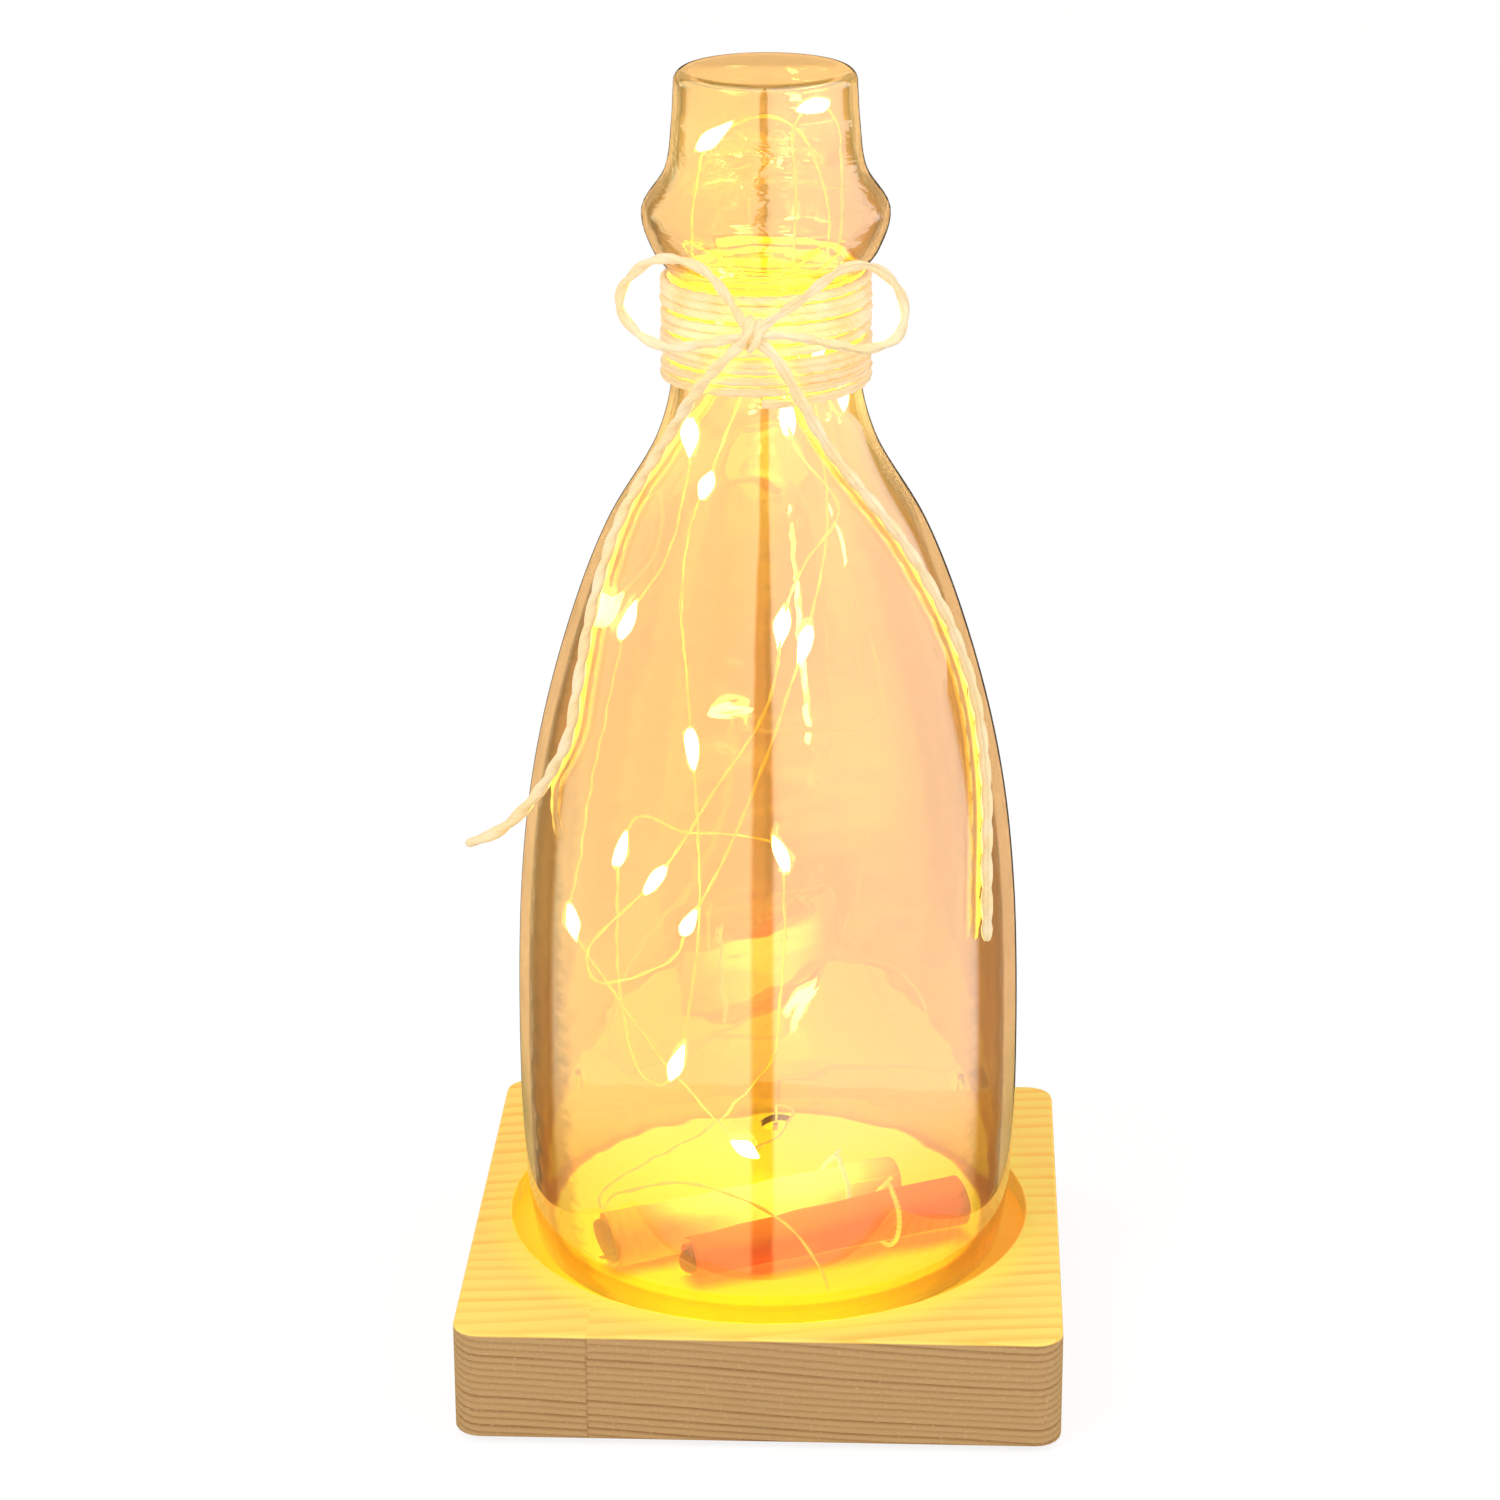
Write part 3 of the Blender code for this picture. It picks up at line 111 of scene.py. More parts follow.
def unit(rows: Array) -> Array:
    """Each row scaled to length 1."""
    return rows / np.maximum(np.linalg.norm(rows, axis=-1, keepdims=True), 1e-12)


def frames_along(path: Array) -> tuple[Array, Array]:
    """Two unit vectors square to the path at each point, turned from point to point by the least turn.

    Args:
        path: the path's points.

    Returns:
        The two arrays of vectors.
    """
    tangent = unit(np.gradient(path, axis=0))
    seed = np.array([0.0, 0.0, 1.0]) if abs(tangent[0, 2]) < 0.9 else np.array([1.0, 0.0, 0.0])
    side = [np.cross(tangent[0], seed)]
    for now in tangent[1:]:
        side.append(side[-1] - now * (side[-1] @ now))
    first = unit(np.array([s - t * (s @ t) for s, t in zip(side, tangent)]))
    return first, np.cross(tangent, first)


def put_mesh(name: str, points: Array, faces: Array, uv: Array | None = None, smooth: bool = True) -> Piece:
    """Makes a mesh object from arrays.

    Args:
        name: the piece's name.
        points: one row for each vertex.
        faces: one row of four vertex numbers for each face; a triangle repeats its last one.
        uv: one row for each vertex, for the piece's own UV map.
        smooth: whether its faces are shaded smooth.

    Returns:
        The object, linked to the scene.
    """
    mesh = bpy.data.meshes.new(name)
    quads = faces[faces[:, 2] != faces[:, 3]]
    triangles = faces[faces[:, 2] == faces[:, 3]][:, :3]
    loops = np.concatenate([quads.ravel(), triangles.ravel()]).astype(np.int32)
    sizes = np.concatenate([np.full(len(quads), 4), np.full(len(triangles), 3)])
    mesh.vertices.add(len(points))
    mesh.vertices.foreach_set("co", np.asarray(points, np.float32).ravel())
    mesh.loops.add(len(loops))
    mesh.loops.foreach_set("vertex_index", loops)
    mesh.polygons.add(len(sizes))
    mesh.polygons.foreach_set("loop_start", np.concatenate([[0], np.cumsum(sizes)[:-1]]).astype(np.int32))
    mesh.polygons.foreach_set("loop_total", sizes.astype(np.int32))
    if uv is not None:
        layer = mesh.uv_layers.new(name="UVMap")
        layer.data.foreach_set("uv", np.asarray(uv, np.float32)[loops].ravel())
    mesh.update(calc_edges=True)
    mesh.validate()
    if smooth:
        mesh.shade_smooth()
    piece = bpy.data.objects.new(name, mesh)
    bpy.context.scene.collection.objects.link(piece)
    return piece


def grid_faces(rows: int, columns: int, first: int = 0, around: bool = True) -> Array:
    """Quads of a grid of points that runs row by row, joined back to its first column if it goes around."""
    last = columns if around else columns - 1
    r, c = np.meshgrid(np.arange(rows - 1), np.arange(last), indexing="ij")
    right = (c + 1) % columns
    row, following = r * columns, (r + 1) * columns
    corners = np.stack([row + c, row + right, following + right, following + c], axis=-1)
    return corners.reshape(-1, 4) + first


def fan(ring: Array, middle: int) -> Array:
    """Triangles that close a ring of vertex numbers to a middle vertex."""
    centre = np.full(len(ring), middle)
    return np.stack([ring, np.roll(ring, -1), centre, centre], axis=1)


def tube(name: str, path: Array, radius: Relief, sides: int) -> Piece:
    """A profile carried along a path: each point lies at radius(distance, angle) from the path, square to it.

    Args:
        name: the piece's name.
        path: the path's points.
        radius: gives the radius for an array of distances along the path and one of angles round it.
        sides: points in each ring.

    Returns:
        The closed tube. Its UV map holds the distance along it in millimetres and the share round it, and its
        inward attribute how far each point lies on the side towards the lamp's axis, from -1 to 1.
    """
    first, second = frames_along(path)
    marks = marks_of(path)
    angle = np.arange(sides) * TAU / sides
    along, around = np.meshgrid(marks, angle, indexing="ij")
    reach = radius(along, around)[..., None]
    ring = first[:, None, :] * np.cos(around)[..., None] + second[:, None, :] * np.sin(around)[..., None]
    points = (path[:, None, :] + ring * reach).reshape(-1, 3)
    faces = grid_faces(len(path), sides)
    count = len(points)
    points = np.vstack([points, path[0], path[-1]])
    here = np.arange(sides)
    start = fan(here[::-1], count)
    end = fan(here + (len(path) - 1) * sides, count + 1)
    uv = np.stack([along.ravel() / MM, around.ravel() / TAU], axis=1)
    uv = np.vstack([uv, [0, 0.5], [marks[-1] / MM, 0.5]])
    piece = put_mesh(name, points, np.vstack([faces, start, end]), uv)
    to_axis = unit(-path[:, None, :] * [1.0, 1.0, 0.0])
    inward = np.concatenate([(ring * to_axis).sum(axis=2).ravel(), [0.0, 0.0]])
    layer = piece.data.attributes.new(name="inward", type="FLOAT", domain="POINT")
    layer.data.foreach_set("value", inward.astype(np.float32))
    return piece


def worn_end(outline: Relief, length: float, worn: float = 0.002, left: float = 0.4) -> Relief:
    """The outline drawn in to a share of itself over its last stretch, as a cut and handled end is."""
    return lambda along, around: outline(along, around) * (
        left + (1 - left) * np.sqrt(np.clip((length - along) / worn, 0, 1))
    )


def plied(radius: float, plies: int, lay: float, fullness: float = 0.58) -> Relief:
    """Radius of a twisted cord: the outline of round plies side by side, turned once in each lay.

    Args:
        radius: the cord's outer radius.
        plies: how many plies are twisted.
        lay: the length of one turn.
        fullness: each ply's own radius as a share of the cord's.

    Returns:
        A radius function for tube.
    """
    offset = 1 - fullness

    def outline(along: Array, around: Array) -> Array:
        """Distance from the cord's middle to the outline of the nearest ply."""
        turned = (around - TAU * along / lay) * plies
        off = (np.mod(turned + math.pi, TAU) - math.pi) / plies
        inside = np.maximum(fullness ** 2 - (offset * np.sin(off)) ** 2, 0.0)
        return radius * (offset * np.cos(off) + np.sqrt(inside))

    return outline


def revolve(name: str, profile: Array, steps: int, waver: Relief) -> Piece:
    """Turns a closed wall's profile of (radius, height) rows round Z.

    The profile starts and ends on the axis, and runs down the outside and up the inside.

    Args:
        name: the piece's name.
        profile: the rows, in metres.
        steps: points in each ring.
        waver: what is added to the radius, from arrays of row numbers and angles.

    Returns:
        The closed shell.
    """
    inner = profile[1:-1]
    angle = np.arange(steps) * TAU / steps
    row, turn = np.meshgrid(np.arange(len(inner)), angle, indexing="ij")
    radius, height = inner[:, :1] + waver(row, turn), inner[:, 1:]
    level = np.broadcast_to(height, turn.shape)
    points = np.stack([radius * np.cos(turn), radius * np.sin(turn), level], axis=-1).reshape(-1, 3)
    count = len(points)
    points = np.vstack([points, [0, 0, profile[0][1]], [0, 0, profile[-1][1]]])
    faces = grid_faces(len(inner), steps)[:, ::-1]
    here = np.arange(steps)
    top = fan(here, count)
    bottom = fan(here[::-1] + (len(inner) - 1) * steps, count + 1)
    return put_mesh(name, points, np.vstack([faces, top, bottom]))


def thick_sheet(name: str, outer: Array, inner: Array, uv: Array) -> Piece:
    """A sheet with two faces: the outer grid, the inner grid turned over, and a strip along each border.

    Args:
        name: the piece's name.
        outer: rows by columns by 3.
        inner: the same, a thickness away.
        uv: rows by columns by 2.

    Returns:
        The closed sheet.
    """
    rows, columns = outer.shape[:2]
    count = rows * columns
    numbers = np.arange(count).reshape(rows, columns)
    border = np.concatenate([numbers[0, :-1], numbers[:-1, -1], numbers[-1, :0:-1], numbers[:0:-1, 0]])
    following = np.roll(border, -1)
    rim = np.stack([following, border, border + count, following + count], axis=1)
    face = grid_faces(rows, columns, around=False)
    faces = np.vstack([face, face[:, ::-1] + count, rim])
    points = np.vstack([outer.reshape(-1, 3), inner.reshape(-1, 3)])
    return put_mesh(name, points, faces, np.vstack([uv.reshape(-1, 2)] * 2))


def facing_out(piece: Piece) -> Piece:
    """The piece with its normals worked out again, so that its faces point outwards."""
    bm = bmesh.new()
    bm.from_mesh(piece.data)
    bmesh.ops.recalc_face_normals(bm, faces=bm.faces)
    bm.to_mesh(piece.data)
    bm.free()
    return piece


def refined(node: str, name: str, angle: float = 32.0) -> Piece:
    """A copy of a CAD node with its triangles merged and its round faces shaded smooth.

    Args:
        node: the CAD node.
        name: the copy's name.
        angle: edges sharper than this stay sharp, in degrees.

    Returns:
        The copy, which replaces the node.
    """
    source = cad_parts[node]
    mesh = source.data.copy()
    mesh.name = name
    bm = bmesh.new()
    bm.from_mesh(mesh)
    bmesh.ops.remove_doubles(bm, verts=bm.verts, dist=MERGE)
    bmesh.ops.dissolve_limit(bm, angle_limit=math.radians(FLAT), verts=bm.verts, edges=bm.edges)
    bm.to_mesh(mesh)
    bm.free()
    mesh.materials.clear()
    mesh.shade_smooth()
    mesh.set_sharp_from_angle(angle=math.radians(angle))
    piece = bpy.data.objects.new(name, mesh)
    bpy.context.scene.collection.objects.link(piece)
    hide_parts(node)
    return piece


# Finishes

class Wiring:
    """A short way to write a node tree."""

    def __init__(self, tree: bpy.types.NodeTree) -> None:
        """Keeps the tree that the nodes go in."""
        self.tree = tree

    def node(self, kind: str, **settings: object) -> bpy.types.Node:
        """Adds a node of a kind and sets its properties."""
        made = self.tree.nodes.new(kind)
        for key, value in settings.items():
            setattr(made, key, value)
        return made

    def feed(self, socket: Socket, value: object) -> None:
        """Links a socket, or sets it to a value, where a colour of three numbers gets alpha 1."""
        if isinstance(value, Socket):
            self.tree.links.new(value, socket)
        elif socket.type == "RGBA" and len(value) == 3:
            socket.default_value = (*value, 1.0)
        else:
            socket.default_value = value

    def fill(self, node: bpy.types.Node, values: Settings) -> None:
        """Links or sets a node's sockets by their names or numbers."""
        for key, value in values.items():
            self.feed(node.inputs[key], value)

    def add(self, kind: str, values: Settings, output: int | str = 0, **settings: object) -> Socket:
        """Adds a node, fills its sockets and gives one of its outputs."""
        made = self.node(kind, **settings)
        self.fill(made, values)
        return made.outputs[output]

    def give(self, name: str, value: Socket) -> None:
        """Links a socket to an input of the material's output node."""
        self.feed(self.tree.nodes["Material Output"].inputs[name], value)

    def math(self, operation: str, *values: object, clamp: bool = False) -> Socket:
        """A Math node's result."""
        return self.add("ShaderNodeMath", dict(enumerate(values)), operation=operation, use_clamp=clamp)

    def times(self, *values: object) -> Socket:
        """The product of the values."""
        return reduce(lambda first, second: self.math("MULTIPLY", first, second), values)

    def plus(self, first: object, second: object, clamp: bool = False) -> Socket:
        """The sum of two values."""
        return self.math("ADD", first, second, clamp=clamp)

    def minus(self, first: object, second: object, clamp: bool = False) -> Socket:
        """One value less another."""
        return self.math("SUBTRACT", first, second, clamp=clamp)

    def span(
        self, value: object, low: float, high: float, to_low: float = 0.0, to_high: float = 1.0,
    ) -> Socket:
        """The value from low to high, eased to run from to_low to to_high."""
        values = dict(enumerate((value, low, high, to_low, to_high)))
        return self.add("ShaderNodeMapRange", values, interpolation_type="SMOOTHSTEP")

    def blend(self, share: object, first: object, second: object) -> Socket:
        """One colour mixed into another by a share."""
        return self.add(
            "ShaderNodeMix", {0: share, 6: first, 7: second}, 2, data_type="RGBA", clamp_factor=True,
        )

    def layers(self, colour: object, *laid: tuple[object, object]) -> object:
        """A colour with others laid over it in turn, each by its share."""
        return reduce(lambda under, layer: self.blend(layer[0], under, layer[1]), laid, colour)

    def noise(
        self, where: object, scale: float = 1.0, detail: float = 4.0,
        roughness: float = 0.5, distortion: float = 0.0,
    ) -> Socket:
        """A Noise Texture's value."""
        return self.add("ShaderNodeTexNoise", {
            "Vector": where, "Scale": scale, "Detail": detail, "Roughness": roughness,
            "Distortion": distortion,
        })

    def mapped(self, where: object, scale: Triple = (1, 1, 1), rotation: Triple = (0, 0, 0)) -> Socket:
        """Coordinates scaled and turned by a Mapping node."""
        return self.add("ShaderNodeMapping", {"Vector": where, "Rotation": rotation, "Scale": scale})

    def bump(self, height: object, strength: float, distance: float) -> Socket:
        """A bumped normal."""
        return self.add("ShaderNodeBump", {"Strength": strength, "Distance": distance, "Height": height})

    def moved(self, operation: str, where: object, point: Triple) -> Socket:
        """Coordinates less a point, or the distance to it."""
        output = "Value" if operation == "DISTANCE" else "Vector"
        return self.add("ShaderNodeVectorMath", {0: where, 1: point}, output, operation=operation)

    def attribute(self, name: str) -> Socket:
        """The value that a piece keeps on its vertices under a name."""
        return self.add("ShaderNodeAttribute", {}, "Fac", attribute_name=name)

    def place(self) -> Socket:
        """Object coordinates."""
        return self.add("ShaderNodeTexCoord", {}, "Object")

    def own_uv(self) -> Socket:
        """The piece's own UV map."""
        return self.add("ShaderNodeTexCoord", {}, "UV")

    def parts(self, vector: object) -> tuple[Socket, Socket, Socket]:
        """A vector's three values."""
        made = self.node("ShaderNodeSeparateXYZ")
        self.feed(made.inputs[0], vector)
        return made.outputs[0], made.outputs[1], made.outputs[2]

    def vector(self, x: object, y: object, z: object) -> Socket:
        """Three values as a vector."""
        return self.add("ShaderNodeCombineXYZ", {0: x, 1: y, 2: z})


@dataclass(frozen=True)
class Finish:
    """A finish: its base values, and the record's material slot that it stands for."""

    name: str
    slot: str
    colour: Triple
    roughness: float = 0.5
    metallic: float = 0.0

    def shader(self) -> tuple[bpy.types.Material, Wiring, bpy.types.Node]:
        """A new material with the base values set on its shader.

        Returns:
            The material, its wiring and its shader node.
        """
        made = bpy.data.materials.new(self.name)
        made.use_nodes = True
        wire = Wiring(made.node_tree)
        shader = made.node_tree.nodes["Principled BSDF"]
        wire.fill(shader, {"Base Color": self.colour, "Roughness": self.roughness, "Metallic": self.metallic})
        return made, wire, shader

    def material(self) -> bpy.types.Material:
        """The finished material."""
        return self.shader()[0]


@dataclass(frozen=True)
class Pine(Finish):
    """Waxed pine in two glued boards, with painted golden light on its top for the lights in the bottle."""

    name: str = "waxed_pine"
    slot: str = "pine"
    colour: Triple = (0.56, 0.335, 0.135)
    late_wood: Triple = (0.33, 0.155, 0.045)
    pale_fibre: Triple = (0.70, 0.47, 0.23)
    pale_fleck: Triple = (0.78, 0.56, 0.30)
    fibre_scale: Triple = (110, 2600, 2600)
    fleck_scale: Triple = (1300, 2600, 2600)
    ring_rise: float = 0.0013
    ring_run: float = 0.0038
    slope: float = 0.05
    wander: float = 3.2
    board_shift: float = 0.43
    glue_line: float = -0.0278
    ragged: float = 0.0006
    joint_width: Pair = (0.00012, 0.00030)
    top: float = BASE_TOP
    groove_floor: float = 0.0163
    middle_radius: float = 0.0375
    groove_radius: float = 0.0446
    near_width: float = 0.007
    # Painted light: the lit colours and the glow strengths stand in for the light of the lights in the bottle
    # on the top, the groove and the round middle.
    lit: Triple = (1.0, 0.70, 0.15)
    lit_late: Triple = (0.97, 0.52, 0.075)
    lit_near: Triple = (1.0, 0.90, 0.11)
    lit_middle: Triple = (1.0, 1.0, 0.03)
    lit_groove_front: Triple = (1.0, 0.92, 0.02)
    lit_groove_left: Triple = (0.97, 0.50, 0.018)
    lit_groove_right: Triple = (0.69, 0.30, 0.026)
    hole_place: Pair = (0.0, 0.0335)
    hole_radius: float = 0.00295
    hole_shade: Triple = (0.10, 0.04, 0.01)
    hole_shade_depth: float = 0.0013
    hole_edge: float = 0.0002
    shadow: Triple = (0.62, 0.20, 0.055)
    shadow_front: Pair = (-0.0060, -0.0008)
    shadow_back: Pair = (0.0030, 0.0010)
    shadow_end: float = 0.0025
    glow: float = 0.22
    groove_glow: float = 0.50
    middle_glow: float = 0.25

    def growth(self, wire: Wiring, place: object) -> tuple[Socket, Socket]:
        """Growth rings: tilted planes that wander, each ring darkening slowly and ending sharply.

        Args:
            wire: the tree's wiring.
            place: object coordinates.

        Returns:
            How dark the late wood is, and how near the glued joint is.
        """
        x, y, z = wire.parts(place)
        wander = wire.noise(wire.mapped(place, (11, 30, 30)), detail=2.0)
        board = wire.math("LESS_THAN", x, self.glue_line)
        phase = wire.minus(wire.math("DIVIDE", z, self.ring_rise), wire.math("DIVIDE", y, self.ring_run))
        phase = wire.plus(phase, wire.times(x, self.slope / self.ring_rise))
        phase = wire.plus(phase, wire.times(wander, self.wander))
        phase = wire.plus(phase, wire.times(board, self.board_shift))
        share = wire.math("FRACT", phase)
        floor = wire.math("FLOOR", phase)
        number = wire.add("ShaderNodeTexWhiteNoise", {"W": floor}, "Value", noise_dimensions="1D")
        amount = wire.span(number, 0.0, 1.0, 0.45, 1.0)
        late = wire.times(wire.span(share, 0.35, 0.90), wire.span(share, 0.94, 1.0, 1.0, 0.0), amount)
        dashes = wire.noise(wire.mapped(place, (0, 900, 900)), detail=1.0)
        ragged = wire.plus(x, wire.times(wire.noise(place, 700.0, 1.0), self.ragged))
        off = wire.math("ABSOLUTE", wire.minus(ragged, self.glue_line + self.ragged / 2))
        joint = wire.times(
            wire.span(off, *self.joint_width, 1.0, 0.0), wire.span(dashes, 0.4, 0.6, 0.25, 0.9),
        )
        return late, joint

    def under_scrolls(self, wire: Wiring, place: object) -> Socket:
        """Shadow under the scrolls: it fades with the distance in front of each one's middle line.

        The way from the line's start is turned until the line lies along x. Then y is the distance from it.

        Args:
            wire: the tree's wiring.
            place: object coordinates.

        Returns:
            A value from 0 to 1.
        """
        shade: object = 0.0
        for start_x, start_y, end_x, end_y in (CREAM_LINE, RED_LINE):
            run = math.hypot(end_x - start_x, end_y - start_y)
            turn = math.atan2(end_y - start_y, end_x - start_x)
            from_start = wire.moved("SUBTRACT", place, (start_x, start_y, 0.0))
            along, aside, _ = wire.parts(wire.mapped(from_start, rotation=(0.0, 0.0, -turn)))
            near = wire.times(
                wire.span(aside, *self.shadow_front), wire.span(aside, *self.shadow_back),
                wire.span(along, -self.shadow_end, 0.001), wire.span(along, run + self.shadow_end, run),
            )
            shade = wire.math("MAXIMUM", shade, near)
        return shade

    def material(self) -> bpy.types.Material:
        """Plain pine below, and painted light on the top: its middle, groove and board each have their own
        painted light colour.
        """
        made, wire, shader = self.shader()
        place = wire.place()
        x, y, z = wire.parts(place)
        late, joint = self.growth(wire, place)
        fibre = wire.noise(wire.mapped(place, self.fibre_scale), 1.0, 3.0, 0.6)
        fleck = wire.noise(wire.mapped(place, self.fleck_scale), 1.0, 2.0, 0.7)
        body = wire.layers(
            self.colour, (late, self.late_wood), (wire.span(fibre, 0.3, 0.8, 0.0, 0.22), self.pale_fibre),
            (wire.span(fleck, 0.56, 0.74, 0.0, 0.5), self.pale_fleck),
            (wire.times(joint, 0.6), self.late_wood),
        )
        radius = wire.moved("DISTANCE", wire.vector(x, y, 0.0), (0.0, 0.0, 0.0))
        level = wire.span(z, self.top - 0.0006, self.top - 0.00025)
        grooved = wire.times(
            wire.span(radius, self.groove_radius + 0.0003, self.groove_radius - 0.0001),
            wire.span(z, self.groove_floor - 0.0008, self.groove_floor - 0.0004),
        )
        # Painted light colours for the top, lighter close to the groove in front, and for the groove and the
        # round middle.
        lit = wire.blend(wire.times(late, 0.85), self.lit, self.lit_late)
        close = wire.span(radius, self.groove_radius, self.groove_radius + self.near_width, 0.75, 0.0)
        lit = wire.blend(wire.times(close, wire.span(y, 0.0, -0.030, 0.35, 1.0)), lit, self.lit_near)
        ring = wire.layers(
            self.lit_groove_front, (wire.span(x, -0.008, -0.042), self.lit_groove_left),
            (wire.span(x, 0.008, 0.042), self.lit_groove_right),
        )
        middle = wire.span(radius, self.middle_radius - 0.0002, self.middle_radius - 0.0008)
        inside = wire.times(middle, grooved)
        shaded = wire.times(self.under_scrolls(wire, place), inside)
        glow = wire.layers(lit, (grooved, ring), (inside, self.lit_middle), (shaded, self.shadow))
        # Painted shade on the back wall of the hole, below its rim.
        hole_x, hole_y = self.hole_place
        off_hole = wire.moved("DISTANCE", wire.vector(x, y, 0.0), (hole_x, hole_y, 0.0))
        bored = wire.times(
            wire.span(off_hole, self.hole_radius + self.hole_edge, self.hole_radius),
            wire.span(y, hole_y + self.hole_edge, hole_y + 0.0012),
            wire.span(z, self.top - self.hole_shade_depth, self.top - self.hole_shade_depth + 0.0003),
        )
        on = wire.times(wire.math("MAXIMUM", level, grooved), wire.minus(1.0, bored))
        body = wire.blend(bored, body, self.hole_shade)
        strength = wire.plus(wire.times(grooved, self.groove_glow), wire.times(inside, self.middle_glow))
        grain = wire.minus(wire.times(fibre, 0.5), wire.times(late, 0.35))
        wire.fill(shader, {
            "Base Color": wire.blend(on, body, glow), "Emission Color": glow,
            "Emission Strength": wire.times(on, wire.plus(strength, self.glow)),
            "Normal": wire.bump(grain, 0.30, 0.0002), "Roughness": wire.span(fibre, 0.2, 0.8, 0.42, 0.60),
        })
        return made


@dataclass(frozen=True)
class AmberGlass(Finish):
    """Amber glass with a thin bright plating: absorbs in its wall, and reflects more than bare glass."""

    name: str = "amber_plated_glass"
    slot: str = "amber_glass"
    colour: Triple = (0.955, 0.775, 0.49)
    rose: Triple = (0.97, 0.73, 0.56)
    # Painted edge colours: the brown band, paler on the right, the tan band and the dark outline stand in for
    # shade and reflections at the glass's outline.
    tan: Triple = (0.82, 0.69, 0.51)
    brown: Triple = (0.44, 0.29, 0.14)
    brown_right: Triple = (0.64, 0.50, 0.34)
    outline: Triple = (0.14, 0.09, 0.05)
    roughness: float = 0.0
    depth_colour: Triple = (0.95, 0.62, 0.40)
    density: float = 60.0
    # Painted light: a faint orange glow all over the glass, and a yellow glow that grows near the lights.
    glow_colour: Triple = (1.0, 0.48, 0.14)
    haze_glow_colour: Triple = (1.0, 0.82, 0.22)
    glow: float = 0.030
    haze_glow: float = 0.075
    coat_index: float = 2.45
    coat_tint: Triple = (1.0, 0.95, 0.84)
    wide_edge: Pair = (0.085, 0.47)
    narrow_edge: Pair = (0.115, 0.62)
    neck: float = 0.150
    neck_brown: float = 0.35
    swirled: Pair = (0.1905, 0.2125)

    def material(self) -> bpy.types.Material:
        """The edge bands are painted shade and reflection, and the faint glow that grows near the lights is
        painted light.

        Layer Weight's Facing is 0 where the wall faces the eye and 1 at its outline. With it come the painted
        brown band, which is wider low on the bottle and paler on the right, then the painted tan band, and
        last the thin painted dark outline.
        """
        made, wire, shader = self.shader()
        place = wire.place()
        x, _, z = wire.parts(place)
        facing = wire.add("ShaderNodeLayerWeight", {}, "Facing")
        ragged = wire.noise(wire.mapped(place, (150, 150, 500)), 1.0, 3.0, 0.6)
        edge = wire.plus(facing, wire.span(ragged, 0.3, 0.7, -0.02, 0.02))
        (low, wide), (high, narrow) = self.wide_edge, self.narrow_edge
        dark = wire.span(wire.minus(edge, wire.span(z, low, high, wide, narrow)), -0.02, 0.05)
        dark = wire.times(dark, wire.span(z, self.neck, self.neck + 0.02, 1.0, self.neck_brown))
        cloud = wire.noise(wire.mapped(place, (22, 22, 14)), 1.0, 2.0)
        body = wire.layers(
            self.colour, (wire.span(cloud, 0.45, 0.65), self.rose),
            (dark, wire.blend(wire.span(x, -0.01, 0.01), self.brown, self.brown_right)),
            (wire.span(facing, 0.66, 0.71), self.tan), (wire.span(facing, 0.865, 0.905), self.outline),
        )
        near = wire.attribute("nearness")
        start, end = self.swirled
        swirl = wire.noise(wire.mapped(place, (90, 90, 210)), 1.0, 2.0, 0.5, 1.6)
        swirl = wire.times(swirl, wire.span(z, start, start + 0.005), wire.span(z, end, end - 0.003))
        wire.fill(shader, {
            "Base Color": body, "Transmission Weight": 1.0, "IOR": 1.5,
            "Coat Weight": 1.0, "Coat Roughness": 0.0, "Coat IOR": self.coat_index,
            "Coat Tint": self.coat_tint, "Coat Normal": wire.bump(swirl, 0.5, 0.0009),
            "Emission Color": wire.blend(wire.span(near, 0.1, 0.9), self.glow_colour, self.haze_glow_colour),
            "Emission Strength": wire.plus(wire.times(near, self.haze_glow), self.glow),
        })
        depth = {"Color": self.depth_colour, "Density": self.density}
        wire.give("Volume", wire.add("ShaderNodeVolumeAbsorption", depth))
        return made


@dataclass(frozen=True)
class Twine(Finish):
    """Cream twine: fibres run along each ply, with a faint painted glow and painted yellow light on the side
    that faces the bottle.
    """

    name: str = "cream_twine"
    slot: str = "cream_twine"
    colour: Triple = (1.0, 0.80, 0.46)
    shade: Triple = (0.94, 0.66, 0.34)
    roughness: float = 0.85
    glow: float = 0.14
    inner_glow: float = 4.0
    glow_colour: Triple = (1.0, 0.74, 0.24)
    lit_inner_colour: Triple = (1.0, 0.72, 0.05)
    pale_patch: Triple = (1.0, 0.90, 0.74)

    def material(self) -> bpy.types.Material:
        """Fibres are noise in the UV map, which runs in millimetres along the twine."""
        made, wire, shader = self.shader()
        along, around, _ = wire.parts(wire.own_uv())
        lean = wire.minus(wire.times(around, 6.0), along)
        grain = wire.noise(wire.vector(wire.times(along, 0.35), wire.times(lean, 3.0), 0.0), 1.0, 4.0, 0.6)
        patch = wire.noise(wire.mapped(wire.place(), (160, 160, 160)), 1.0, 2.0)
        body = wire.blend(wire.span(grain, 0.3, 0.65), self.shade, self.colour)
        # Painted light: a faint glow all over, and strong yellow light on the side towards the lamp's axis.
        inner = wire.span(wire.attribute("inward"), 0.35, 1.0)
        wire.fill(shader, {
            "Base Color": wire.blend(wire.span(patch, 0.35, 0.7, 0.0, 0.45), body, self.pale_patch),
            "Sheen Weight": 0.2, "Normal": wire.bump(grain, 0.7, 0.00025),
            "Emission Color": wire.blend(inner, self.glow_colour, self.lit_inner_colour),
            "Emission Strength": wire.span(inner, 0.0, 1.0, self.glow, self.inner_glow),
        })
        return made


